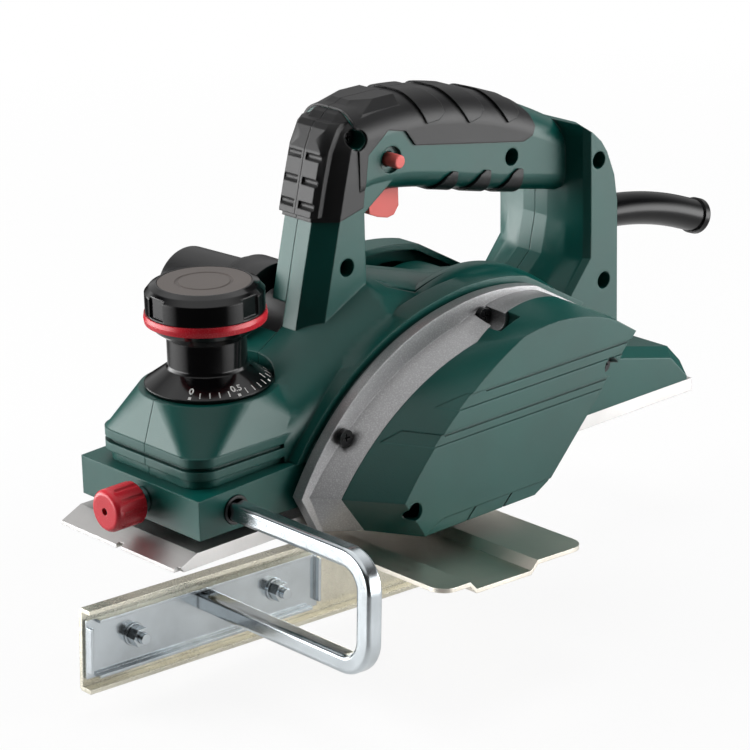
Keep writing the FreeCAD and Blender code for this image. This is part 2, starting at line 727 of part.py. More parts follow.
def scoop():
    """Tapered air slot let into the back, sloping with it."""
    plan = polygon([V(-3.3, 4.2, -scoop_depth), V(3.8, 1.8, -scoop_depth), V(33.0, -4.5, -scoop_depth),
                    V(0.5, -0.8, -scoop_depth)])
    out = Part.Face(plan).extrude(V(0, 0, scoop_depth + 15))
    out.rotate(V(0, 0, 0), V(0, 1, 0), 23.0)
    out.translate(V(scoop_x, -18.5, 93.5))
    return out


def vent_slots():
    slots = []
    pitch = 6.6
    for k in range(vent_count):
        z = motor_z + (k - (vent_count - 1) / 2) * pitch
        half = math.sqrt((barrel_radius - 9) ** 2 - (z - motor_z) ** 2)
        for side in (-1, 1):
            x0, x1 = sorted((motor_x + side * (bearing_outer + 6), motor_x + side * half))
            if half > bearing_outer + 10:
                slots.append(box(x0, x1, barrel_end_y - 6, barrel_end_y + 2, z - 1.4, z + 1.4))
    return Part.makeCompound(slots + [scoop()])


def half_shell(whole, side):
    y0, y1 = (-100.0, -seam) if side < 0 else (seam, 100.0)
    part = whole.common(box(-300, 200, y0, y1, -50, 250))
    return part


def scales():
    """Leaf-shaped pads across the top of the grip."""
    regions = []
    for x, z, size, lean in scale_places:
        c = size * math.cos(math.radians(lean))
        w = size * math.sin(math.radians(lean))
        regions.append(prism_y([(x + c * a - w * b, z + w * a + c * b) for a, b in scale_outline], -40, 40))
    return grip(-rubber - scale_height).common(fuse(regions))


def tongue():
    """Raised panel down the front of the head, with three dents each side of the middle."""
    raised = rubber + tongue_height
    out = pillar(-raised).common(box(cutter_x - 20, cutter_x + 40, -tongue_half, tongue_half,
                                     tongue_bottom, tongue_top))
    for z in dent_heights:
        x = cutter_x + 5.5 + (z - 129.0) / 4 - raised
        for y0, y1 in ((-11.0, -1.5), (1.5, 11.0)):
            out = out.cut(cyl_y(x - 0.9, z, dent_radius, y0, y1))
    return out


def grip_rubber(side):
    """Soft skin over the head and the top of the grip."""
    skin = fuse([pillar(-rubber), grip(-rubber), scales(), tongue()])
    core = fuse([pillar(0.05), grip(0.05)])
    core = fuse([core, pillar(0.0).fuse(grip(0.0))])
    skin = skin.cut(core)
    skin = skin.common(prism_y(rubber_edge, -40, 40))
    for x, z in shell_screw_places:
        skin = skin.cut(cyl_y(x, z, screw_recess + 0.6, -60, 0))
    skin = skin.cut(box(pillar_rear_x - 0.5, 60, -40, 40, 100, 133.0))
    y0, y1 = (-40.0, -seam) if side < 0 else (seam, 40.0)
    return largest(skin.common(box(-300, 200, y0, y1, 0, 250)))


def grip_pads():
    """Three soft fins under the fingers."""
    skin = grip(-rubber).cut(grip(0.0))
    regions = []
    for k in range(3):
        x = cutter_x + 71.5 + finger_pitch * k
        z = 131.0 - 3.7 * k
        regions.append(prism_y([(x - 3, z - 12), (x + 3, z - 1), (x + 8, z + 4.5), (x + 11.5, z + 6.2),
                                (x + 14.5, z + 5.5), (x + 14, z - 14)], -30, 30))
    return skin.common(fuse(regions)).cut(rear_pillar(0.0))


# ------------------------------------------------------------------ belt side


def bearing_plate():
    """Cast side plate with two facets round its rim and the two bearing seats."""
    slab = flank_slab(slab_outline, plate_rim_y, plate_inner_y, 0)
    rim = flank_loft(crease_outline, plate_rim_y, root_outline, cover_root_y)
    hollow = flank_slab(root_outline, cover_root_y - 1, plate_rim_y, -plate_wall)
    envelope = fuse([slab, rim])
    out = envelope.cut(hollow)
    bosses = []
    for x, z in ((cutter_x, cutter_z), (motor_x, motor_z)):
        bosses.append(cyl_y(x, z, bearing_outer + 3, bearing_y - 2, plate_inner_y))
    for x, z in band_screws:
        bosses.append(cyl_y(x, z, 6.2, cover_root_y, plate_inner_y).common(envelope))
    bosses.append(cyl_y(cover_screw[0], cover_screw[1], 5.0, cover_root_y, plate_inner_y))
    out = fuse([out] + bosses)
    for x, z in ((cutter_x, cutter_z), (motor_x, motor_z)):
        out = out.cut(cyl_y(x, z, bearing_outer + running_fit, bearing_y, plate_inner_y + 1))
        out = out.cut(cyl_y(x, z, bearing_outer - 4, bearing_y - 3, plate_inner_y + 1))
    for x, z in band_screws:
        out = out.cut(cyl_y(x, z, 4.7, cover_root_y - 2, recess_floor_y))
        out = out.cut(cyl_y(x, z, screw_shank + running_fit, recess_floor_y - 1, plate_inner_y + 1))
    out = out.cut(cyl_y(cover_screw[0], cover_screw[1], screw_shank + running_fit, cover_root_y - 1,
                        plate_inner_y - 2))
    return out


def belt_cover():
    outer = flank_loft(root_outline, cover_root_y, face_outline, face_y)
    inner = flank_loft(root_outline, cover_root_y + 0.01, face_outline, face_y + cover_wall, -cover_wall)
    out = outer.cut(inner)
    boss = cyl_y(cover_screw[0], cover_screw[1], 5.5, face_y, cover_root_y).common(outer)
    pockets = [cyl_y(x, z, 6.2 + seat_gap + cover_wall, cover_root_y - pocket_depth - cover_wall,
                     cover_root_y).common(outer) for x, z in band_screws]
    out = fuse([out, boss] + pockets)
    out = out.cut(cyl_y(cover_screw[0], cover_screw[1], 4.4, face_y - 1, face_y + 7))
    out = out.cut(cyl_y(cover_screw[0], cover_screw[1], screw_shank + running_fit, face_y,
                        cover_root_y + 1))
    out = out.cut(cyl_y(cover_hole[0], cover_hole[1], 4.2, face_y - 1, face_y + 9))
    for x, z in band_screws:
        out = out.cut(cyl_y(x, z, 6.2 + seat_gap, cover_root_y - pocket_depth, cover_root_y + 3))
    # two stepped strips, the trim along the bottom and its two splits
    step = outer.cut(outer.translated(V(0, strip_depth, 0)))
    deep = outer.cut(outer.translated(V(0, 1.8 * strip_depth, 0)))
    for x, z, height, ahead in cover_strips:
        strip = prism_y([(x, z), (x + strip_length, z), (x + strip_length, z - height),
                         (x - ahead, z - height)], face_y - 1, cover_root_y)
        line = prism_y([(x + 10, z), (x + strip_length, z), (x + strip_length, z - 1.3), (x + 10, z - 1.3)],
                       face_y - 1, cover_root_y)
        out = out.cut(strip.common(step)).cut(line.common(deep))
    trim = prism_y([(cutter_x + 9.6, trim_top), (cutter_x + 90, trim_top), (cutter_x + 90, 0),
                    (cutter_x - 5, 0)], face_y - 1, face_y + cover_wall)
    out = out.cut(trim.common(step))
    for x in trim_splits:
        split = prism_y([(x, trim_top), (x + 1.0, trim_top), (x - 5.0, 1.5), (x - 6.0, 1.5)],
                        face_y - 1, face_y + cover_wall)
        out = out.cut(split.common(deep))
    return out


def cover_screws():
    x, z = cover_screw
    head = cyl_y(x, z, 3.6, face_y + 4.2, face_y + 7)
    shank = cyl_y(x, z, screw_shank, face_y + 6.5, plate_rim_y + 1)
    out = [fuse([head, shank])]
    for x, z in band_screws:
        head = cyl_y(x, z, 3.8, recess_floor_y - 2.8, recess_floor_y)
        shank = cyl_y(x, z, screw_shank, recess_floor_y - 0.5, plate_inner_y)
        out.append(fuse([head, shank]))
    return Part.makeCompound([cross_slot(s) for s in out])


def cross_slot(screw):
    """Cross recess in a head that faces -Y."""
    c = screw.BoundBox
    x = (c.XMin + c.XMax) / 2
    z = (c.ZMin + c.ZMax) / 2
    screw = screw.cut(box(x - 2, x + 2, c.YMin - 1, c.YMin + 1.4, z - 0.45, z + 0.45))
    return screw.cut(box(x - 0.45, x + 0.45, c.YMin - 1, c.YMin + 1.4, z - 2, z + 2))


def housing_screws():
    out = []
    for x, z in shell_screw_places:
        y = -pillar_half + 9
        head = cyl_y(x, z, screw_head, y - 2.6, y)
        shank = cyl_y(x, z, screw_shank, y - 0.5, 12.5)
        out.append(cross_slot(fuse([head, shank])))
    return Part.makeCompound(out)


# ------------------------------------------------------------------ drive


def bearing(x, z, y):
    return ring_y(x, z, bearing_bore + running_fit, bearing_outer, y, y + bearing_width)


def cutter_bearings():
    return Part.makeCompound([bearing(cutter_x, cutter_z, bearing_y),
                              bearing(cutter_x, cutter_z, right_cheek_y)])


def motor_bearings():
    return Part.makeCompound([bearing(motor_x, motor_z, bearing_y),
                              bearing(motor_x, motor_z, rear_bearing_y)])


def at_blade(shape, angle):
    """Turn a shape built at the drum's +X side about the cutter axis."""
    out = shape.copy()
    out.rotate(V(cutter_x, 0, cutter_z), V(0, 1, 0), -angle)
    return out


def radial_box(r0, r1, t0, t1, y0, y1):
    return box(cutter_x + r0, cutter_x + r1, y0, y1, cutter_z + t0, cutter_z + t1)


def cutter_drum():
    drum = cyl_y(cutter_x, cutter_z, drum_radius, drum_left_y, drum_right_y)
    shaft = cyl_y(cutter_x, cutter_z, bearing_bore, pulley_y - 1, right_cheek_y + bearing_width)
    step = cyl_y(cutter_x, cutter_z, 6.0, plate_inner_y - 5, half_width + 0.6)
    drum = fuse([drum, shaft, step])
    for angle in blade_angles:
        slot = radial_box(slot_root, drum_radius + 2, -blade_thick - 0.05, bar_thick + 0.1,
                          drum_left_y - 1, drum_right_y + 1)
        drum = drum.cut(at_blade(slot, angle))
        chip_gullet = radial_box(drum_radius - 2.2, drum_radius + 3, bar_thick, bar_thick + 7,
                                 drum_left_y - 1, drum_right_y + 1)
        drum = drum.cut(at_blade(chip_gullet, angle))
    return drum


def blades():
    out = []
    for angle in blade_angles:
        plate = radial_box(blade_root, cutting_radius, -blade_thick, 0, drum_left_y, drum_right_y)
        out.append(at_blade(plate, angle))
    return Part.makeCompound(out)


def blade_bars():
    out = []
    for angle in blade_angles:
        bar = radial_box(slot_root + 0.1, drum_radius - 0.6, 0.05, bar_thick, drum_left_y + 0.5,
                         drum_right_y - 0.5)
        for y in blade_screw_places():
            hole = Part.makeCylinder(1.6, 4, V(cutter_x + 18.2, y, cutter_z + bar_thick - 2.2), V(0, 0, 1))
            bar = bar.cut(hole)
        out.append(at_blade(bar, angle))
    return Part.makeCompound(out)


def blade_screw_places():
    return [-28.0, 0.0, 28.0]


def blade_screws():
    out = []
    for angle in blade_angles:
        for y in blade_screw_places():
            screw = Part.makeCylinder(1.5, 2.0, V(cutter_x + 18.2, y, cutter_z + bar_thick - 2.1),
                                      V(0, 0, 1))
            out.append(at_blade(screw, angle))
    return Part.makeCompound(out)


def pulley(x, z, radius, bore):
    body = ring_y(x, z, bore + running_fit, radius, pulley_y, pulley_y + pulley_width)
    rib = 1.6
    for k in range(4):
        y = pulley_y + 1.0 + k * 1.8
        body = body.cut(ring_y(x, z, radius - 0.7, radius + 1, y, y + rib / 2))
    return body


def loop_y(r1, r2, y0, y1):
    """Solid of a belt's outline round the two pulley axes."""
    dx = motor_x - cutter_x
    dz = motor_z - cutter_z
    length = math.hypot(dx, dz)
    base = math.atan2(dz, dx)
    spread = math.acos((r1 - r2) / length)
    pts = []
    for sign in (1, -1):
        a = base + sign * spread
        pts.append(((cutter_x + r1 * math.cos(a), cutter_z + r1 * math.sin(a)),
                    (motor_x + r2 * math.cos(a), motor_z + r2 * math.sin(a))))
    quad = prism_y([pts[0][0], pts[0][1], pts[1][1], pts[1][0]], y0, y1)
    return fuse([cyl_y(cutter_x, cutter_z, r1, y0, y1), cyl_y(motor_x, motor_z, r2, y0, y1), quad])


def belt():
    y0 = pulley_y + (pulley_width - belt_width) / 2
    y1 = y0 + belt_width
    r1 = cutter_pulley_radius + belt_gap
    r2 = motor_pulley_radius + belt_gap
    return loop_y(r1 + belt_thickness, r2 + belt_thickness, y0, y1).cut(loop_y(r1, r2, y0 - 1, y1 + 1))


def rotor_shaft():
    thin = cyl_y(motor_x, motor_z, bearing_bore, pulley_y - 1, rear_bearing_y + bearing_width - 0.5)
    thick = cyl_y(motor_x, motor_z, shaft_radius, bearing_y + bearing_width + 0.4, rear_bearing_y - 0.4)
    return fuse([thin, thick])


def rotor_core():
    core = ring_y(motor_x, motor_z, shaft_radius, rotor_radius, -stack_length / 2, stack_length / 2)
    for k in range(12):
        slot = box(motor_x + rotor_radius - 4, motor_x + rotor_radius + 1, -stack_length, stack_length,
                   motor_z - 0.9, motor_z + 0.9)
        slot.rotate(V(motor_x, 0, motor_z), V(0, 1, 0), 30 * k)
        core = core.cut(slot)
    return core


def commutator():
    return ring_y(motor_x, motor_z, shaft_radius, commutator_radius, stack_length / 2 + 5,
                  stack_length / 2 + 19)


def fan():
    y0 = -stack_length / 2 - 17
    hub = ring_y(motor_x, motor_z, shaft_radius, 11.0, y0, y0 + 11)
    disc = ring_y(motor_x, motor_z, 10.0, fan_radius, y0, y0 + 2)
    vanes = []
    for k in range(12):
        vane = box(motor_x + 10, motor_x + fan_radius - 1, y0 + 1, y0 + 11, motor_z - 0.8, motor_z + 0.8)
        vane.rotate(V(motor_x + 10, 0, motor_z), V(0, 1, 0), 18)
        vane.rotate(V(motor_x, 0, motor_z), V(0, 1, 0), 30 * k)
        vanes.append(vane)
    return fuse([hub, disc] + vanes)


def stator():
    outer = barrel_radius - wall - seat_gap
    body = ring_y(motor_x, motor_z, rotor_radius + air_gap, outer, -stack_length / 2, stack_length / 2)
    for side in (-1, 1):
        mid = motor_z + side * (barrel_radius - 10.0)
        window = box(motor_x - 11, motor_x + 11, -stack_length, stack_length, mid - 3.5, mid + 3.5)
        body = body.cut(window)
    return body


def brush_holders():
    y = stack_length / 2 + 12
    out = []
    for side in (-1, 1):
        x0, x1 = sorted((motor_x + side * (commutator_radius + 2),
                         motor_x + side * (barrel_radius - wall - 0.7)))
        tube = box(x0, x1, y - 6.5, y + 6.5, motor_z - 5.5, motor_z + 5.5)
        out.append(tube.cut(box(x0 - 1, x1 + 1, y - 4.6, y + 4.6, motor_z - 3.6, motor_z + 3.6)))
    return Part.makeCompound(out)


def brushes():
    y = stack_length / 2 + 12
    out = []
    for side in (-1, 1):
        x0, x1 = sorted((motor_x + side * (commutator_radius + 0.3),
                         motor_x + side * (commutator_radius + 17)))
        out.append(box(x0, x1, y - 4.4, y + 4.4, motor_z - 3.4, motor_z + 3.4))
    return Part.makeCompound(out)


# ------------------------------------------------------------------ controls
def depth_dial():
    z = dial_bottom
    top = z + dial_height + neck_height + 7.2
    bore = spindle_radius + 0.02
    return revolve_z(knob_x, 0, [(bore, z), (dial_radius - 0.4, z), (dial_radius, z + 1.4),
                                 (neck_radius + 0.6, z + dial_height),
                                 (neck_radius, z + dial_height + 1.4),
                                 (neck_radius, z + dial_height + neck_height),
                                 (cap_radius - 3.6, top - 3.2), (cap_radius - 2.0, top), (bore, top)])


def knob_ring():
    z = dial_bottom + dial_height + neck_height + 7.2
    return revolve_z(knob_x, 0, [(12.0, z), (cap_radius + 0.5, z), (cap_radius + 0.8, z + 2.2),
                                 (cap_radius + 0.5, z + ring_height), (12.0, z + ring_height)])


def knob_cap():
    z = dial_bottom + dial_height + neck_height + 7.2 + ring_height
    cap = revolve_z(knob_x, 0, [(12.0, z), (cap_radius, z), (cap_radius, cap_top - 4.0),
                                (cap_radius - 2.2, cap_top - 1.3), (cap_radius - 5.0, cap_top),
                                (cap_radius - 5.6, cap_top), (cap_radius - 5.6, cap_top - 1.0),
                                (12.0, cap_top - 1.0)])
    for angle in (-184.0, -80.0, -4.0, 100.0):
        recess = box(knob_x + cap_radius - 1.4, knob_x + cap_radius + 2, -5.0, 5.0, z + 1.0, cap_top - 3.0)
        recess.rotate(V(knob_x, 0, 0), V(0, 0, 1), angle)
        cap = cap.cut(recess)
    core = revolve_z(knob_x, 0, [(spindle_radius + 0.02, z), (12.0, z), (12.0, cap_top - 1.0),
                                 (0, cap_top - 1.0), (0, z + 6), (spindle_radius + 0.02, z + 6)])
    return fuse([cap, core])


def knob_inlay():
    r = cap_radius - 5.8
    return revolve_z(knob_x, 0, [(0, cap_top - 1.0), (r, cap_top - 1.0), (r, cap_top - 0.1),
                                 (13.2, cap_top - 0.1), (12.8, cap_top - 0.5), (11.6, cap_top - 0.5),
                                 (11.2, cap_top - 0.1), (0, cap_top - 0.1)])


def depth_spindle():
    z1 = dial_bottom + dial_height + neck_height + 7.2 + ring_height + 5.8
    rod = cyl_z(knob_x, 0, spindle_radius, set_depth + sole_thickness + 6, z1)
    collar = cyl_z(knob_x, 0, spindle_radius + 3.5, dial_z - 16.5, dial_z - 12.3)
    return fuse([rod, collar])


def trigger():
    outline = [(trigger_x0, 123.5), (trigger_x0 + 5, 121.2), (trigger_x0 + 11, 119.6),
               (trigger_x0 + 15, 120.2), (trigger_x1, 124.0), (trigger_x1, 139.0), (trigger_x0, 139.0)]
    return prism_y(outline, -trigger_half, trigger_half)


def lock_button():
    y0 = -grip_half - 6.0
    stem = cyl_y(button_x, button_z, button_radius, y0, -5.0)
    tip = [e for e in stem.Edges if e.Closed and abs(e.CenterOfMass.y - y0) < 0.1]
    return stem.makeFillet(0.8, tip)


def switch_body():
    half = grip_half - wall - 1.5
    body = box(trigger_x1 + 2.0, trigger_x1 + 36.0, -half, half, 137.0, 157.0)
    return body.makeChamfer(3.5, [e for e in body.Edges if abs(e.tangentAt(e.FirstParameter).x) > 0.9])


def cord_sleeve():
    """Bend protector of the mains lead: a drooping tube with an end rim and a trapped collar."""
    x0 = rear_face_x - 5.5
    p0 = V(x0, 0, sleeve_z)
    p1 = V(x0 + 44, 0, sleeve_z - 4.4)
    p2 = V(rear_face_x + sleeve_length - 13, 0, sleeve_z - 13.2)
    arc = Part.Arc(p0, p1, p2).toShape()
    tangent = arc.tangentAt(arc.LastParameter)
    if tangent.x < 0:
        tangent = tangent * -1
    p3 = p2 + tangent * 13.0
    path = Part.Wire([arc, Part.makeLine(p2, p3)])
    start = arc.tangentAt(arc.FirstParameter)

    def swept(radius):
        circle = Part.Wire([Part.makeCircle(radius, p0, start)])
        return path.makePipeShell([circle], True, True)
    tube = swept(sleeve_radius)
    rim = Part.makeCylinder(sleeve_radius + 0.9, 3.6, p3 - tangent * 3.6, tangent)
    collar = cyl_x(0, sleeve_z, sleeve_radius + 3.0, x0 - 0.5, x0 + 1.8)
    out = fuse([tube, rim, collar])
    mouth = p3 - tangent * sleeve_mouth
    return out.cut(Part.makeCylinder(sleeve_bore, sleeve_mouth + 1, mouth, tangent))


# ------------------------------------------------------------------ clamp of the guide bar


def clamp_knob():
    x1 = nose_x - clamp_collar_length - 0.3
    x0 = x1 - clamp_knob_length
    body = cyl_x(clamp_y, bar_z, clamp_knob_radius, x0, x1)
    front = [e for e in body.Edges if e.Closed and abs(e.CenterOfMass.x - x0) < 0.1]
    body = body.makeFillet(2.4, front)
    body = body.makeChamfer(1.2, [e for e in body.Edges if e.Closed and abs(e.CenterOfMass.x - x1) < 0.1])
    for k in range(10):
        flute = cyl_x(clamp_y + clamp_knob_radius + 0.9, bar_z, 1.5, x0 + 4, x1 + 1)
        flute.rotate(V(0, clamp_y, bar_z), V(1, 0, 0), 36 * k)
        body = body.cut(flute)
    body = body.cut(cyl_x(clamp_y, bar_z, 1.7, x0 - 1, x0 + 5))
    return body.cut(cyl_x(clamp_y, bar_z, clamp_screw_radius, x0 + 6, x1 + 1))


def clamp_collar():
    x1 = nose_x - 0.3
    return cyl_x(clamp_y, bar_z, 6.2, x1 - clamp_collar_length + 0.3, x1).cut(
        cyl_x(clamp_y, bar_z, clamp_screw_radius, nose_x - 10, nose_x + 1))


def clamp_screw():
    x0 = nose_x - clamp_collar_length - 0.3 - clamp_knob_length + 6
    return cyl_x(clamp_y, bar_z, clamp_screw_radius, x0, bar_x - bar_size / 2 - 0.45)


# ------------------------------------------------------------------ parallel guide


def drooped(shape):
    out = shape.copy()
    out.rotate(V(bar_x, 0, bar_z), V(0, 1, 0), guide_droop)
    return out


def guide_bar():
    """Square bar bent to a U: one arm goes through the block, the other carries the guide."""
    z1 = bar_z
    z0 = bar_z - bar_drop
    r = bend_radius
    y_end = guide_web_y - 2 * sheet
    s = r * (1 - math.sqrt(0.5))
    pts = [V(bar_x, bar_tip_y, z1), V(bar_x, bar_outer_y + r, z1), V(bar_x, bar_outer_y + s, z1 - s),
           V(bar_x, bar_outer_y, z1 - r), V(bar_x, bar_outer_y, z0 + r),
           V(bar_x, bar_outer_y + s, z0 + s), V(bar_x, bar_outer_y + r, z0), V(bar_x, y_end, z0)]
    path = Part.Wire([Part.makeLine(pts[0], pts[1]), Part.Arc(pts[1], pts[2], pts[3]).toShape(),
                      Part.makeLine(pts[3], pts[4]), Part.Arc(pts[4], pts[5], pts[6]).toShape(),
                      Part.makeLine(pts[6], pts[7])])
    h = bar_size / 2
    blank = box(bar_x - h, bar_x + h, bar_tip_y, bar_tip_y + 1, z1 - h, z1 + h)
    long_edges = [e for e in blank.Edges if abs(e.tangentAt(e.FirstParameter).y) > 0.9]
    blank = blank.makeFillet(bar_round, long_edges)
    profile = min(blank.Faces, key=lambda f: f.CenterOfMass.y).OuterWire
    return drooped(path.makePipeShell([profile], True, True))


def guide_bracket():
    """Shallow sheet tray with turned-out lips and cut corners."""
    y1 = guide_web_y - sheet
    y0 = y1 - sheet
    x0 = bar_x - tray_half
    x1 = bar_x + tray_half
    z0 = guide_z - tray_height / 2
    z1 = guide_z + tray_height / 2
    lip = 3.0
    t = 1.4
    corner = 5.0
    parts = [box(x0, x1, y0, y1, z0, z1),
             box(x0 + corner, x1 - corner, y0 - lip, y0 + 0.5, z1 - t, z1),
             box(x0 + corner, x1 - corner, y0 - lip, y0 + 0.5, z0, z0 + t),
             box(x0, x0 + t, y0 - lip, y0 + 0.5, z0 + 3, z1 - 3),
             box(x1 - t, x1, y0 - lip, y0 + 0.5, z0 + 3, z1 - 3)]
    out = fuse(parts)
    for side in (-1, 1):
        out = out.cut(cyl_y(bar_x + side * bolt_span / 2, bolt_z, 2.55, y0 - 1, y1 + 1))
    return drooped(out)


def fence_section():
    """Pressed channel: web with rims turned towards the belt side."""
    y1 = guide_web_y
    z0 = guide_z - fence_height / 2
    z1 = guide_z + fence_height / 2
    depth = 7.5
    s = sheet
    outline = [(y1, z0 + 1.2), (y1, z1 - 1.2), (y1 - 1.2, z1), (y1 - depth, z1), (y1 - depth, z1 - s),
               (y1 - s, z1 - s), (y1 - s, z0 + s), (y1 - depth, z0 + s), (y1 - depth, z0), (y1 - 1.2, z0)]
    return outline


def fence_profile():
    out = prism_x(fence_section(), fence_front, fence_front + fence_length)
    for side in (-1, 1):
        out = out.cut(cyl_y(bar_x + side * bolt_span / 2, bolt_z, 2.55, guide_web_y - sheet - 1,
                            guide_web_y + 1))
    return drooped(out)


def cutter_guard():
    """Flat sheet under the belt side with a joggled channel that clears the blades."""
    x0 = guard_front
    x1 = x0 + guard_width
    mid = (x0 + x1) / 2 - 7.0
    c0 = mid - guard_channel / 2
    c1 = mid + guard_channel / 2
    j = guard_joggle
    top = [(x0, guard_top), (c0 - j, guard_top), (c0, guard_top - j), (c1, guard_top - j),
           (c1 + j, guard_top), (x1, guard_top)]
    low = [(x, z - sheet) for x, z in reversed(top)]
    inner = guide_web_y - sheet
    plate = prism_y(top + low, guard_outer_y, inner)
    corners = [e for e in plate.Edges if abs(e.tangentAt(e.FirstParameter).z) > 0.9
               and e.CenterOfMass.y < guard_outer_y + 1
               and (abs(e.CenterOfMass.x - x0) < 1 or abs(e.CenterOfMass.x - x1) < 1)]
    plate = plate.makeFillet(8.0, corners)
    leg = box(guard_leg_front + 4, x1 - 4, inner - sheet, inner, guide_z + fence_height / 2, guard_top - 1)
    return drooped(fuse([plate, leg]))


def guide_bolts():
    out = []
    for side in (-1, 1):
        x = bar_x + side * bolt_span / 2
        head = cyl_y(x, bolt_z, 5.4, guide_web_y, guide_web_y + 2.2)
        shank = cyl_y(x, bolt_z, 2.5, guide_web_y - 13.0, guide_web_y + 0.5)
        out.append(drooped(fuse([head, shank])))
    return Part.makeCompound(out)


def hexagon(x, z, across, y0, y1):
    r = across / math.sqrt(3)
    return prism_y([(x + r * math.cos(math.radians(60 * k)), z + r * math.sin(math.radians(60 * k)))
                    for k in range(6)], y0, y1)


def guide_nuts():
    out = []
    y = guide_web_y - 2 * sheet - 1.1
    for side in (-1, 1):
        x = bar_x + side * bolt_span / 2
        out.append(drooped(hexagon(x, bolt_z, 8.0, y - 5.0, y).cut(cyl_y(x, bolt_z, 2.55, y - 6, y + 1))))
    return Part.makeCompound(out)


def guide_washers():
    out = []
    y = guide_web_y - 2 * sheet
    for side in (-1, 1):
        out.append(drooped(ring_y(bar_x + side * bolt_span / 2, bolt_z, 2.55, 5.2, y - 1.0, y)))
    return Part.makeCompound(out)


# ------------------------------------------------------------------ write the parts
def main():
    whole = housing()
    save("front_sole", front_sole())
    save("lift_nut", lift_nut())
    save("rear_sole", rear_sole())
    save("sole_screws", sole_screws())
    save("base_frame", base_frame())
    save("rod_bush", rod_bush())
    save("chip_duct", chip_duct())
    save("chip_socket", chip_socket())
    save("chip_ejector", chip_ejector())
    save("housing_left", half_shell(whole, -1))
    save("housing_right", half_shell(whole, 1))
    save("grip_rubber_left", grip_rubber(-1))
    save("grip_rubber_right", grip_rubber(1))
    save("grip_pads", grip_pads())
    save("bearing_plate", bearing_plate())
    save("belt_cover", belt_cover())
    save("cover_screws", cover_screws())
    save("housing_screws", housing_screws())
    save("cutter_bearings", cutter_bearings())
    save("motor_bearings", motor_bearings())
    save("cutter_drum", cutter_drum())
    save("blades", blades())
    save("blade_bars", blade_bars())
    save("blade_screws", blade_screws())
    save("cutter_pulley", pulley(cutter_x, cutter_z, cutter_pulley_radius, bearing_bore))
    save("motor_pulley", pulley(motor_x, motor_z, motor_pulley_radius, bearing_bore))
    save("belt", belt())
    save("rotor_shaft", rotor_shaft())
    save("rotor_core", rotor_core())
    save("commutator", commutator())
    save("fan", fan())
    save("stator", stator())
    save("brush_holders", brush_holders())
    save("brushes", brushes())
    save("depth_dial", depth_dial())
    save("knob_ring", knob_ring())
    save("knob_cap", knob_cap())
    save("knob_inlay", knob_inlay())
    save("depth_spindle", depth_spindle())
    save("trigger", trigger())
    save("lock_button", lock_button())
    save("switch_body", switch_body())
    save("cord_sleeve", cord_sleeve())
    save("clamp_knob", clamp_knob())
    save("clamp_collar", clamp_collar())
    save("clamp_screw", clamp_screw())
    save("guide_bar", guide_bar())
    save("guide_bracket", guide_bracket())
    save("fence_profile", fence_profile())
    save("cutter_guard", cutter_guard())
    save("guide_bolts", guide_bolts())
    save("guide_nuts", guide_nuts())
    save("guide_washers", guide_washers())
    for name, count, volume in written:
        print(name, count, round(volume / 1000, 2), "cm3")


main()
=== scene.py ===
# %% [markdown]
# # An electric hand planer, dressed for a studio
#
# The shapes of this planer come from its CAD solids, which are loaded here as a fixed frame.
# Blender adds what solids can't say: the finish of each material, the printed scale of the
# depth dial, the rounding of moulded edges, a floor, some light and a camera.
# Everything is in metres, with Z up, the nose towards -X and the drive belt's side towards -Y.

# %% Load the frame
import math

import bpy
from mathutils import Matrix, Vector


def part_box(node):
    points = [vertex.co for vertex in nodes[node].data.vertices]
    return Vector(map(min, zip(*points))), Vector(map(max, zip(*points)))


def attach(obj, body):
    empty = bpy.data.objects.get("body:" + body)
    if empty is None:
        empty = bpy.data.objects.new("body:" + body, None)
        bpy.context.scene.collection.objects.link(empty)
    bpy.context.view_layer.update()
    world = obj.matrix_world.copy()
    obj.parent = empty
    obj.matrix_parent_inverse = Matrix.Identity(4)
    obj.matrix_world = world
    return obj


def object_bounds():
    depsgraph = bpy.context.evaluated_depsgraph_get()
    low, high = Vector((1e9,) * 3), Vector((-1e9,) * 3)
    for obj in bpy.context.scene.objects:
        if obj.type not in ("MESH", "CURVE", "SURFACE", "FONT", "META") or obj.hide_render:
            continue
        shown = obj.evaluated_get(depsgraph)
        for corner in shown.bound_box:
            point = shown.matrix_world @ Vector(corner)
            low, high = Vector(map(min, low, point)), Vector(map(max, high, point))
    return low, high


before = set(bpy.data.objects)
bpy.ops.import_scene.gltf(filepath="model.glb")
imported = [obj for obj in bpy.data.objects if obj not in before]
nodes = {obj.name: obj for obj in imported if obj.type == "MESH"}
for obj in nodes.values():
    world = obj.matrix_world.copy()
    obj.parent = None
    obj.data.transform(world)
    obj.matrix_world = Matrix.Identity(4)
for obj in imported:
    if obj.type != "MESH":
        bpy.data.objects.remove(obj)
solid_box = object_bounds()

MM = 0.001
print("size in mm:", [round((b - a) / MM, 1) for a, b in zip(*solid_box)])

# %% [markdown]
# ## The camera
#
# A long lens from a metre and a half away keeps the planer's lines nearly parallel, as in a
# catalogue. It could be aimed with a Track To constraint, but the view has a slight roll, so the
# camera's three axes are worked out from azimuth, elevation and roll and put into its matrix.

# %% Camera
AIM = Vector((-70.755, -2.816, 43.905)) * MM
AZIMUTH, ELEVATION, ROLL = map(math.radians, (-42.12, 19.62, -1.41))
DISTANCE = 1480.84 * MM
FOCAL_MM, SENSOR_MM = 153.6, 36.0
NEAREST, FURTHEST = 0.05, 20.0


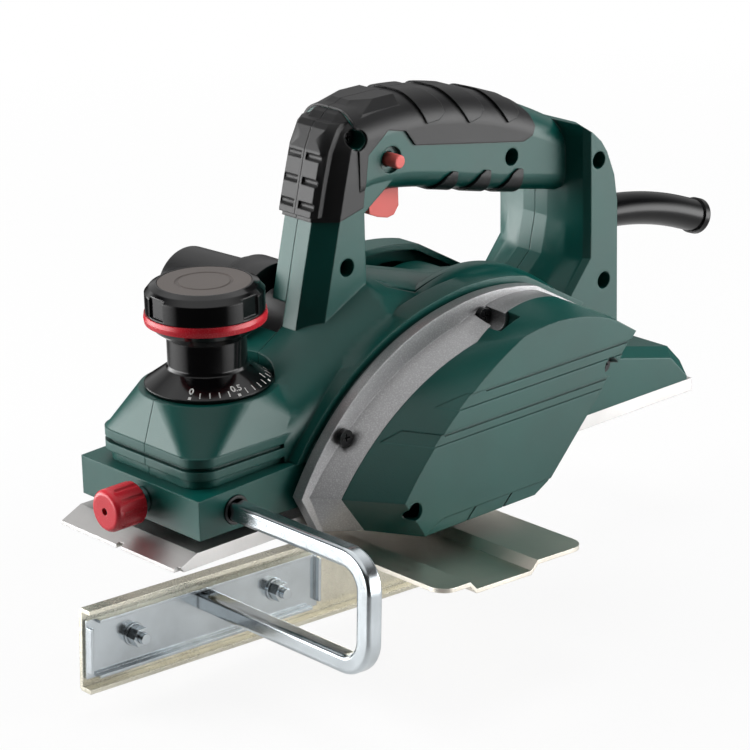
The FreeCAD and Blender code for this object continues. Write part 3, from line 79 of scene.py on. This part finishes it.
def camera_matrix():
    back = Vector((math.sin(AZIMUTH) * math.cos(ELEVATION),
                   -math.cos(AZIMUTH) * math.cos(ELEVATION),
                   math.sin(ELEVATION)))
    right = (-back).cross(Vector((0, 0, 1))).normalized()
    up = right.cross(-back)
    level = Matrix((right, up, back)).transposed()
    turned = level @ Matrix.Rotation(ROLL, 3, "Z")
    return Matrix.Translation(AIM + back * DISTANCE) @ turned.to_4x4()


lens = bpy.data.cameras.new("studio_camera")
lens.lens, lens.sensor_width = FOCAL_MM, SENSOR_MM
lens.clip_start, lens.clip_end = NEAREST, FURTHEST
camera = bpy.data.objects.new("studio_camera", lens)
camera.matrix_world = camera_matrix()
bpy.context.scene.collection.objects.link(camera)
bpy.context.scene.camera = camera
print("camera at", [round(v, 3) for v in camera.location])

# %% [markdown]
# ## Arithmetic on shader sockets
#
# A procedural finish is mostly sums: noise times depth, one minus a mask, and so on. Built node by
# node that is long to write and hard to read. `Value` wraps one output socket and overloads the
# arithmetic operators, so an expression on values adds its Math nodes, also with the number first.
# Colours don't go through it, because a Math node would turn them grey: they have `mix`.

# %% Socket wrapper
NOISE_ROUGHNESS = 0.55


class Value:
    """One output socket of a graph, which can be added, subtracted and multiplied."""

    def __init__(self, graph, socket):
        self.graph, self.socket = graph, socket

    def math(self, operation, a, b, clamp=False):
        settings = {"operation": operation, "use_clamp": clamp}
        return self.graph.node("ShaderNodeMath", settings, {0: a, 1: b})

    def __add__(self, other): return self.math("ADD", self, other)
    def __radd__(self, other): return self.math("ADD", other, self)
    def __sub__(self, other): return self.math("SUBTRACT", self, other)
    def __rsub__(self, other): return self.math("SUBTRACT", other, self)
    def __mul__(self, other): return self.math("MULTIPLY", self, other)
    def __rmul__(self, other): return self.math("MULTIPLY", other, self)

    def clamped(self):
        return self.math("ADD", self, 0.0, clamp=True)


class Graph:
    """The node tree of a material or a world, emptied."""

    def __init__(self, tree):
        self.tree = tree
        tree.nodes.clear()

    def node(self, kind, settings=None, sockets=None, output=0):
        """Adds a node, sets its settings and then its sockets. Gives one of its outputs."""
        made = self.tree.nodes.new(kind)
        for key, value in (settings or {}).items():
            setattr(made, key, value)
        for key, value in (sockets or {}).items():
            if isinstance(value, Value):
                self.tree.links.new(value.socket, made.inputs[key])
            else:
                made.inputs[key].default_value = value
        return Value(self, made.outputs[output]) if len(made.outputs) else made

    def place(self):
        """Where a point is on the piece, in metres."""
        return self.node("ShaderNodeTexCoord", output="Object")

    def noise(self, size, detail=3.0, stretch=(1, 1, 1)):
        """Soft noise with lumps of about that size, longer along the axes with a stretch above 1."""
        scaled = self.node("ShaderNodeVectorMath", {"operation": "MULTIPLY"},
                           {0: self.place(), 1: tuple(1 / (size * s) for s in stretch)})
        return self.node("ShaderNodeTexNoise", {"noise_dimensions": "3D"},
                         {"Vector": scaled, "Scale": 1.0, "Detail": detail,
                          "Roughness": NOISE_ROUGHNESS})

    def mix(self, factor, a, b):
        """Colour a where factor is 0, b where it is 1."""
        return self.node("ShaderNodeMix", {"data_type": "RGBA"}, {0: factor, 6: a, 7: b}, output=2)

    def range(self, value, low, high, to_low=0.0, to_high=1.0):
        """A value between low and high, moved to the range from to_low to to_high and kept in it."""
        return self.node("ShaderNodeMapRange", {}, {0: value, 1: low, 2: high, 3: to_low, 4: to_high})


def new_material(name):
    """A material, and the empty graph of its nodes."""
    material = bpy.data.materials.new(name)
    material.use_nodes = True
    return material, Graph(material.node_tree)


print("arithmetic: + - * on Value")

# %% [markdown]
# ## Rounded edges and worn edges
#
# CAD edges are knife sharp, and a moulded or cast edge never is: it has a small radius that catches
# a thin line of light. A Bevel modifier would need clean quads, which tessellated solids don't
# have. The Bevel shader node needs none: it looks round the point and returns the normal that a
# rounded edge would have. Where that normal departs from the true one, there is an edge, so the
# same node also tells where a finish is rubbed pale or shiny.

# %% Edge helper
EDGE_BEGINS, EDGE_FULL = 0.995, 0.86    # cosine of the angle between rounded and true normal


def rounded(graph, radius):
    """(normal of the rounded surface, mask that is 1 on the edges)"""
    soft = graph.node("ShaderNodeBevel", {"samples": 4}, {"Radius": radius})
    true = graph.node("ShaderNodeNewGeometry", output="Normal")
    same = graph.node("ShaderNodeVectorMath", {"operation": "DOT_PRODUCT"}, {0: soft, 1: true},
                      output="Value")
    return soft, graph.range(same, EDGE_BEGINS, EDGE_FULL)


print("edges begin at", round(math.degrees(math.acos(EDGE_BEGINS))), "degrees of rounding")

# %% [markdown]
# ## One recipe for every finish
#
# All the finishes share a recipe: a colour that drifts a little over some centimetres, a grain that
# is far smaller and drives both bump and roughness, edges that are rubbed, and painted shade that
# darkens the colour in corners where a wall stands close by. What differs is how large each part is,
# so the recipe is one function and each finish is one call with its own sizes.

# %% The recipe
RUB_PATCH, RUB_LEAST = 7 * MM, 0.45         # size of a rubbed patch, and the wear between patches
# The reach and the last gain below set the painted shade, which darkens the colour in corners.
PAINTED_SHADE_REACH = 3.5 * MM                     # how near a wall has to be to darken a corner
FLECK_GAIN, WORN_GAIN, PAINTED_SHADE_GAIN = 1.6, 1.8, 0.12    # brightness against the base colour
RUB_POLISH = 0.1                            # how much smoother a rubbed edge is


def rgba(r, g, b):
    return (r, g, b, 1.0)


def scaled(colour, k):
    """The colour, k times as bright."""
    return tuple(min(1.0, c * k) for c in colour[:3]) + (1.0,)


def finish(name, colour, roughness, *, metallic=0.0, grain=0.4 * MM, depth=0.02 * MM,
           stretch=(1, 1, 1), drift=0.08, drift_size=45 * MM, uneven=0.06, edge=0.6 * MM, worn=0.25,
           worn_colour=None, specular=0.5, fleck=0.0, painted_shade=0.75):
    """A material: colour, its drift and flecks, grain, rubbed edges and painted shade in corners."""
    material, g = new_material(name)
    normal, rim = rounded(g, edge)
    fine = g.noise(grain, stretch=stretch)
    broad = g.noise(drift_size, detail=4.0)
    cloud = g.range(broad, 0.3, 0.7)
    base = g.mix(cloud, scaled(colour, 1 - drift), scaled(colour, 1 + drift))
    if fleck:
        speck = g.range(g.noise(grain * 0.7, detail=0.0), 0.5, 0.75)
        base = g.mix(speck * fleck, base, scaled(colour, FLECK_GAIN))
    patches = g.range(g.noise(RUB_PATCH), 0.35, 0.65, RUB_LEAST, 1.0)
    rub = (rim * patches * worn).clamped()
    base = g.mix(rub, base, worn_colour or scaled(colour, WORN_GAIN))
    # Painted shade: where a wall stands close by, ambient occlusion darkens the base colour, as the
    # shade in a corner would.
    open_air = g.node("ShaderNodeAmbientOcclusion", {"samples": 4}, {"Distance": PAINTED_SHADE_REACH},
                      output="AO")
    base = g.mix(g.range(open_air, 0.75, 0.25) * painted_shade, base, scaled(colour, PAINTED_SHADE_GAIN))
    rough = (roughness + (fine - 0.5) * uneven * 2 + (broad - 0.5) * uneven
             - rub * RUB_POLISH).clamped()
    bump = g.node("ShaderNodeBump", {}, {
        "Strength": 1.0, "Distance": depth, "Height": fine, "Normal": normal})
    shader = g.node("ShaderNodeBsdfPrincipled", {}, {
        "Base Color": base, "Roughness": rough, "Metallic": metallic, "Normal": bump,
        "Specular IOR Level": specular})
    g.node("ShaderNodeOutputMaterial", {}, {"Surface": shader})
    return material


def dress(material, *names):
    for name in names:
        piece = nodes[name]
        piece.data.materials.clear()
        piece.data.materials.append(material)
    print(material.name, "on", ", ".join(names))


# %% [markdown]
# ## Moulded green shells
#
# The two half shells and the belt cover are glass-filled nylon in a dark teal green, with the fine
# spark-eroded grain of their mould, and the base frame between the soles has the same colour. The
# grain is about half a millimetre, so it only shows as a soft break-up of the highlights. A noise
# bump at that size gives the same.

# %% Green plastic
green = finish("moulded_green_nylon", rgba(0.003, 0.070, 0.058), 0.32, grain=0.5 * MM, depth=0.07 * MM,
               drift=0.12, uneven=0.08, edge=0.9 * MM, worn=0.30,
               worn_colour=rgba(0.04, 0.17, 0.15), specular=0.46)
dress(green, "housing_left", "housing_right", "belt_cover", "base_frame")

# %% [markdown]
# ## Blacks and reds
#
# The planer has four blacks, and what separates them is gloss, hardly colour: the ejector is grained
# nylon, the depth knob is polished, the grip is a soft moulded rubber with a dry sheen, and the cord
# sleeve is a smooth vinyl. So they differ mostly in roughness and in the size of their grain. The
# trigger and the lock button are a lighter coral than the signal red of the knob ring and the clamp
# knob. One red would be simpler, but the two are seen close together on the real machine. The
# knob's inlay is a warm matt grey, and the screws are blackened steel, rubbed pale at their rims.

# %% Blacks and reds
black = finish("black_nylon", rgba(0.006, 0.006, 0.0065), 0.36, grain=0.4 * MM, depth=0.04 * MM,
               edge=0.7 * MM, worn=0.2, worn_colour=rgba(0.04, 0.04, 0.04))
gloss = finish("polished_black_knob", rgba(0.003, 0.003, 0.0035), 0.12, grain=1.4 * MM, depth=0.005 * MM,
               uneven=0.03, edge=0.8 * MM, worn=0.08, worn_colour=rgba(0.03, 0.03, 0.03))
rubber = finish("soft_grip_rubber", rgba(0.006, 0.006, 0.0065), 0.42, grain=0.35 * MM, depth=0.06 * MM,
                specular=0.42, drift=0.15, edge=0.8 * MM, worn=0.15, worn_colour=rgba(0.05, 0.05, 0.05))
sleeve = finish("cord_sleeve_rubber", rgba(0.004, 0.004, 0.0045), 0.20, grain=0.8 * MM, depth=0.01 * MM,
                edge=0.8 * MM, worn=0.1, worn_colour=rgba(0.03, 0.03, 0.03), specular=0.25)
grey = finish("grey_knob_inlay", rgba(0.10, 0.085, 0.078), 0.42, grain=0.3 * MM, depth=0.03 * MM,
              edge=0.5 * MM)
red = finish("signal_red_nylon", rgba(0.74, 0.022, 0.04), 0.26, grain=0.5 * MM, depth=0.02 * MM,
             edge=0.7 * MM, worn=0.15, worn_colour=rgba(0.9, 0.22, 0.22))
coral = finish("coral_red_nylon", rgba(0.95, 0.17, 0.15), 0.36, grain=0.5 * MM, depth=0.02 * MM,
               edge=0.8 * MM, worn=0.2, worn_colour=rgba(0.95, 0.35, 0.32))
screw = finish("blackened_screws", rgba(0.015, 0.015, 0.016), 0.3, metallic=0.6, grain=0.5 * MM,
               depth=0.02 * MM, edge=0.3 * MM, worn=0.6, worn_colour=rgba(0.45, 0.45, 0.45))
dress(black, "chip_ejector", "chip_socket", "chip_duct", "fan", "rod_bush")
dress(gloss, "depth_dial", "knob_cap")
dress(rubber, "grip_rubber_left", "grip_rubber_right", "grip_pads")
dress(sleeve, "cord_sleeve")
dress(grey, "knob_inlay")
dress(red, "knob_ring", "clamp_knob")
dress(coral, "trigger", "lock_button")
dress(screw, "cover_screws", "housing_screws", "sole_screws")

# %% [markdown]
# ## Metals
#
# Every metal here is worked in a different way. The bearing plate is a casting under silver lacquer,
# with metal flakes and a coarse skin. The soles are milled, with fine lines across the planer.
# The guide bar is plated with bright zinc, which keeps a soft waviness from the drawn bar, and the
# fence has the yellowish passivation of cheaper zinc. The guard is brushed sheet, lined across and
# down, and the motor's lamination and commutator have rings round their shaft. The lines come from
# noise stretched thirty to fifty times along two axes, so that it stays short only along the third.
# That is cheaper than an anisotropic shader, and the lines keep their direction in space. The belt,
# its pulleys, the carbon brushes and the switch are inside, and get plain dark finishes here too.

# %% Metals
# The silver casting gets less painted shade in its corners than the other finishes.
silver = finish("silver_lacquered_casting", rgba(0.36, 0.36, 0.365), 0.40, metallic=0.65, grain=0.8 * MM,
                depth=0.08 * MM, drift=0.10, uneven=0.12, edge=0.8 * MM, worn=0.4, fleck=0.5, painted_shade=0.4)
sole = finish("milled_aluminium", rgba(0.58, 0.57, 0.56), 0.38, metallic=0.9, grain=0.45 * MM,
              stretch=(1, 40, 40), depth=0.03 * MM, drift=0.10, uneven=0.12, edge=0.4 * MM, worn=0.4)
zinc = finish("bright_zinc_plate", rgba(0.62, 0.67, 0.70), 0.20, metallic=1.0, grain=3 * MM,
              depth=0.03 * MM, drift=0.08, drift_size=15 * MM, uneven=0.08, edge=0.5 * MM, worn=0.2)
yellow_zinc = finish("yellow_passivated_zinc", rgba(0.74, 0.71, 0.60), 0.28, metallic=1.0,
                     grain=0.6 * MM, depth=0.02 * MM, drift=0.08, drift_size=25 * MM, uneven=0.08,
                     edge=0.4 * MM, worn=0.3)
steel = finish("brushed_guard_steel", rgba(0.80, 0.75, 0.66), 0.33, metallic=1.0, grain=0.35 * MM,
               stretch=(1, 50, 50), depth=0.012 * MM, drift=0.08, uneven=0.10, edge=0.4 * MM, worn=0.4)
machined = finish("machined_steel", rgba(0.6, 0.6, 0.6), 0.25, metallic=1.0, grain=0.4 * MM,
                  depth=0.02 * MM, edge=0.3 * MM)
lamination = finish("stacked_sheet", rgba(0.22, 0.22, 0.23), 0.45, metallic=0.8, grain=0.5 * MM,
                    stretch=(30, 1, 30), depth=0.05 * MM, edge=0.3 * MM)
copper = finish("turned_copper", rgba(0.72, 0.40, 0.26), 0.25, metallic=1.0, grain=0.4 * MM,
                stretch=(30, 1, 30), depth=0.02 * MM, edge=0.3 * MM)
brass = finish("folded_brass", rgba(0.68, 0.52, 0.26), 0.3, metallic=1.0, grain=0.5 * MM,
               depth=0.02 * MM, edge=0.3 * MM)
carbon = finish("pressed_carbon", rgba(0.03, 0.03, 0.032), 0.6, grain=0.4 * MM, depth=0.03 * MM,
                edge=0.3 * MM)
belt_rubber = finish("belt_rubber", rgba(0.015, 0.015, 0.015), 0.55, grain=0.5 * MM, depth=0.05 * MM,
                     edge=0.3 * MM)
dress(silver, "bearing_plate")
dress(sole, "front_sole", "rear_sole")
dress(zinc, "guide_bar", "guide_bracket", "guide_bolts", "guide_nuts", "guide_washers", "clamp_collar",
      "clamp_screw")
dress(yellow_zinc, "fence_profile")
dress(steel, "cutter_guard")
dress(machined, "lift_nut", "depth_spindle", "cutter_drum", "blades", "blade_bars", "blade_screws",
      "rotor_shaft", "cutter_bearings", "motor_bearings")
dress(lamination, "rotor_core", "stator")
dress(copper, "commutator")
dress(brass, "brush_holders")
dress(carbon, "brushes", "switch_body")
dress(belt_rubber, "belt", "cutter_pulley", "motor_pulley")

# %% [markdown]
# ## The printed scale
#
# The dial's cone carries a white scale of cutting depths: a tick each tenth of a millimetre, a small
# square and a number each half. One turn of the knob moves the sole by its screw's pitch, so the
# angle between marks isn't free: 93.75 degrees a millimetre. The ink could be a mask in the dial's
# material, but real strips and digits about a tenth of a millimetre above the cone are sharper, and
# they stay sharp in a close view. They ride on the knob, so the scale turns with it.

# %% Printed scale of the depth dial
DIAL_LOW, DIAL_HIGH = (28.5 * MM, 1.4 * MM), (18.4 * MM, 8.5 * MM)    # the cone: radius, height
ZERO, PER_MM, LAST = -147.0, 93.75, 26                                  # degrees, degrees, tenths
TICK, SQUARE = (0.10, 0.34, 0.55 * MM), (0.05, 0.16, 1.5 * MM)          # from, to, width
DIGIT_HEIGHT, DIGIT_BOLD, DIGIT_FOOT = 4.4 * MM, 0.11 * MM, 0.21
STRIP_LIFT, DIGIT_LIFT = 0.08 * MM, 0.15 * MM                           # above the cone
dial_low, dial_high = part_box("depth_dial")
axis = Vector(((dial_low.x + dial_high.x) / 2, (dial_low.y + dial_high.y) / 2, dial_low.z))


def on_dial(angle, along, lift):
    """Matrix of a spot on the dial's cone: X runs round it, Y up its slope, Z out of it."""
    radius, height = (a + (b - a) * along for a, b in zip(DIAL_LOW, DIAL_HIGH))
    out = Vector((math.cos(angle), math.sin(angle), 0))
    slope = out * (DIAL_HIGH[0] - DIAL_LOW[0]) + Vector((0, 0, DIAL_HIGH[1] - DIAL_LOW[1]))
    up = slope.normalized()
    round_ = Vector((0, 0, 1)).cross(out)
    face = round_.cross(up)
    place = axis + out * radius + Vector((0, 0, height)) + face * lift
    return Matrix.Translation(place) @ Matrix((round_, up, face)).transposed().to_4x4()


def add_mesh(name, points, faces, material):
    mesh = bpy.data.meshes.new(name)
    mesh.from_pydata(points, [], faces)
    mesh.materials.append(material)
    piece = bpy.data.objects.new(name, mesh)
    bpy.context.scene.collection.objects.link(piece)
    return piece


ink = finish("white_ink", rgba(0.80, 0.80, 0.78), 0.5, grain=0.15 * MM, depth=0.01 * MM, drift=0.05,
             drift_size=4 * MM, edge=0.05 * MM, worn=0.1)
points, faces = [], []


def mark(angle, low, high, width):
    """One bar of ink, bent over the cone in three strips."""
    first = len(points)
    for across in (-1, -1 / 3, 1 / 3, 1):
        turn = angle + across * width / 2 / DIAL_LOW[0]
        points.extend(on_dial(turn, along, STRIP_LIFT).translation for along in (low, high))
    faces.extend((first + k, first + k + 2, first + k + 3, first + k + 1) for k in (0, 2, 4))


for tenth in range(LAST + 1):
    angle = math.radians(ZERO + PER_MM * tenth / 10)
    if tenth % 5:
        mark(angle, *TICK)
        continue
    mark(angle, *SQUARE)
    digits = bpy.data.curves.new(f"dial_number_{tenth}", "FONT")
    digits.body = f"{tenth / 10:g}"
    digits.size, digits.align_x, digits.align_y = DIGIT_HEIGHT, "CENTER", "BOTTOM"
    digits.offset = DIGIT_BOLD
    digits.materials.append(ink)
    number = bpy.data.objects.new(f"dial_number_{tenth}", digits)
    number.matrix_world = on_dial(angle, DIGIT_FOOT, DIGIT_LIFT)
    bpy.context.scene.collection.objects.link(number)
    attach(number, "depth_knob")
ticks = add_mesh("dial_ticks", points, faces, ink)
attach(ticks, "depth_knob")
print("dial marks:", len(faces) // 3, "numbers up to", LAST // 5 * 5 / 10)

# %% [markdown]
# ## Flowing surfaces
#
# Where the real mould flows from one plane to the next, the solids of the shells are made of flatter
# facets. Finer meshes wouldn't change that, since the facets are in the solids themselves. Only the
# shading is softened here: three modifiers join the split corners, keep an edge only where it turns
# by more than 52 degrees, and average the normals by corner angle elsewhere. The outline keeps its
# facets. A Smooth modifier would round it, but it would also move the surface, which this doesn't.

# %% Softened shading
JOIN_WITHIN, SHARP_DEGREES = 0.005 * MM, 52
for name in ("housing_left", "housing_right", "grip_rubber_left", "grip_rubber_right", "grip_pads",
             "belt_cover", "bearing_plate", "trigger", "chip_ejector", "chip_socket", "cord_sleeve"):
    piece = nodes[name]
    joined = piece.modifiers.new("join_corners", "WELD")
    joined.merge_threshold = JOIN_WITHIN
    kept = piece.modifiers.new("keep_sharp_edges", "EDGE_SPLIT")
    kept.split_angle, kept.use_edge_sharp = math.radians(SHARP_DEGREES), False
    averaged = piece.modifiers.new("average_normals", "WEIGHTED_NORMAL")
    averaged.mode, averaged.keep_sharp = "CORNER_ANGLE", True
    print(name, "softened:", len(piece.data.polygons), "faces")

# %% [markdown]
# ## The floor
#
# The planer stands over a sheet of pale paper. A paper this size would light the planer from below
# and cover the reflections that the next step makes, so Light Path sorts the rays. The camera sees
# it as white, with the planer's soft shadow near the middle. As a source of bounced light it is
# darker, and in reflections it ends further out, as a small table would. A real sheet with a hole or
# a smaller sheet would do part of this, but its edge would show.

# %% Floor
FLOOR_Z, FLOOR_REACH = solid_box[0].z - 0.5 * MM, 8.0
PAPER, PAPER_BOUNCE = rgba(0.9, 0.9, 0.9), rgba(0.2, 0.2, 0.2)    # as seen, and for bounced light
WHITE = rgba(1, 1, 1)
SHADOW_FADES = (0.3, 1.0, 0.90, 1.0)    # from, to (metres), share of plain white at each
BOXES_SHOW = (0.22, 0.50)               # where the floor gives way in reflections, in metres
PAPER_IN_GLOSS = 0.3


def floor_material():
    material, g = new_material("pale_floor")
    camera_ray = g.node("ShaderNodeLightPath", output="Is Camera Ray")
    glossy_ray = g.node("ShaderNodeLightPath", output="Is Glossy Ray")
    bounce = g.node("ShaderNodeLightPath", output="Is Diffuse Ray")
    cloth = g.node("ShaderNodeBsdfDiffuse", {}, {"Color": g.mix(bounce, PAPER, PAPER_BOUNCE)})
    white = g.node("ShaderNodeEmission", {}, {"Color": WHITE, "Strength": 1.0})
    away = g.node("ShaderNodeVectorMath", {"operation": "LENGTH"}, {0: g.place()}, output="Value")
    whiteness = camera_ray * g.range(away, *SHADOW_FADES) + glossy_ray * PAPER_IN_GLOSS
    paper = g.node("ShaderNodeMixShader", {}, {0: whiteness, 1: cloth, 2: white})
    gone = g.node("ShaderNodeBsdfTransparent")
    far = g.range(away, *BOXES_SHOW) * glossy_ray
    surface = g.node("ShaderNodeMixShader", {}, {0: far, 1: paper, 2: gone})
    g.node("ShaderNodeOutputMaterial", {}, {"Surface": surface})
    return material


corners = [(x * FLOOR_REACH, y * FLOOR_REACH, FLOOR_Z)
           for x, y in ((-1, -1), (1, -1), (1, 1), (-1, 1))]
floor = add_mesh("studio_floor", corners, [(0, 1, 2, 3)], floor_material())
print("floor at", round(FLOOR_Z / MM, 1), "mm")

# %% [markdown]
# ## Lamps and world
#
# Glossy dark plastic is lit by what it reflects more than by what falls on it. Two tall softboxes
# stand left and right of the planer, square to the view, and the room between them is dark. Its end
# and side faces reflect a box and turn pale, and the slanted faces between them reflect the dark
# room, which draws every edge. The lamps give the light that falls on it, and the world gives the
# reflections, so each can be set alone. The lamps are dimmer and the boxes brighter than in a plain
# light: a matte colour renders at about half of what is written here, and pale metal can clip to
# white where it faces a box.

# %% Lamps and world
LAMP_SIZE = 0.9
LEFT_RIGHT, TOWARDS = (0.669, -0.743, 0.0), (-0.671, -0.742, 0.0)    # level directions of the view
BOX_LEFT, BOX_RIGHT, WALL_BEHIND, CEILING, DARK_ROOM = 7.5, 6.6, 0.5, 1.0, 0.03
SOFT_LIGHT = 0.10


def area_lamp(name, offset, watts):
    """A square lamp that faces the middle of the planer and isn't seen in reflections."""
    data = bpy.data.lights.new(name, "AREA")
    data.shape, data.size, data.energy = "SQUARE", LAMP_SIZE, watts
    lamp = bpy.data.objects.new(name, data)
    lamp.location = middle + Vector(offset)
    lamp.rotation_euler = (middle - lamp.location).to_track_quat("-Z", "Y").to_euler()
    lamp.visible_glossy = False
    bpy.context.scene.collection.objects.link(lamp)
    print(name, watts, "W")


middle = (solid_box[0] + solid_box[1]) / 2
area_lamp("left_softbox", (-0.90, 1.00, 0.45), 20.0)
area_lamp("right_softbox", (1.05, -0.85, 0.45), 17.0)
area_lamp("top_softbox", (0.2, 0.3, 1.5), 9.0)


def studio_world():
    world = bpy.data.worlds.new("studio_world")
    world.use_nodes = True
    bpy.context.scene.world = world
    g = Graph(world.node_tree)
    way = g.node("ShaderNodeTexCoord", output="Generated")

    def facing(direction):
        return g.node("ShaderNodeVectorMath", {"operation": "DOT_PRODUCT"}, {0: way, 1: direction},
                      output="Value")

    def background(strength):
        return g.node("ShaderNodeBackground", {}, {"Color": WHITE, "Strength": strength})

    up = g.node("ShaderNodeSeparateXYZ", {}, {0: way}, output="Z")
    across, towards = facing(LEFT_RIGHT), facing(TOWARDS)
    low = g.range(up, 0.35, 0.05) * g.range(up, -0.32, -0.18, 0.18, 1.0)
    left = g.range(across, -0.70, -0.95) * low
    right = g.range(across, 0.72, 0.95) * low
    behind = g.range(towards, -0.35, -0.75) * g.range(up, -0.05, 0.15)
    overhead = g.range(up, 0.55, 0.8)
    reflected = (DARK_ROOM + left * BOX_LEFT + right * BOX_RIGHT + behind * WALL_BEHIND
                 + overhead * CEILING)
    glossy_ray = g.node("ShaderNodeLightPath", output="Is Glossy Ray")
    camera_ray = g.node("ShaderNodeLightPath", output="Is Camera Ray")
    lit = g.node("ShaderNodeMixShader", {}, {
        0: glossy_ray, 1: background(SOFT_LIGHT), 2: background(reflected)})
    surface = g.node("ShaderNodeMixShader", {}, {0: camera_ray, 1: lit, 2: background(1.0)})
    g.node("ShaderNodeOutputWorld", {}, {"Surface": surface})


studio_world()
print("boxes in reflections, left and right:", BOX_LEFT, BOX_RIGHT)
bpy.context.scene.view_settings.view_transform = "Standard"
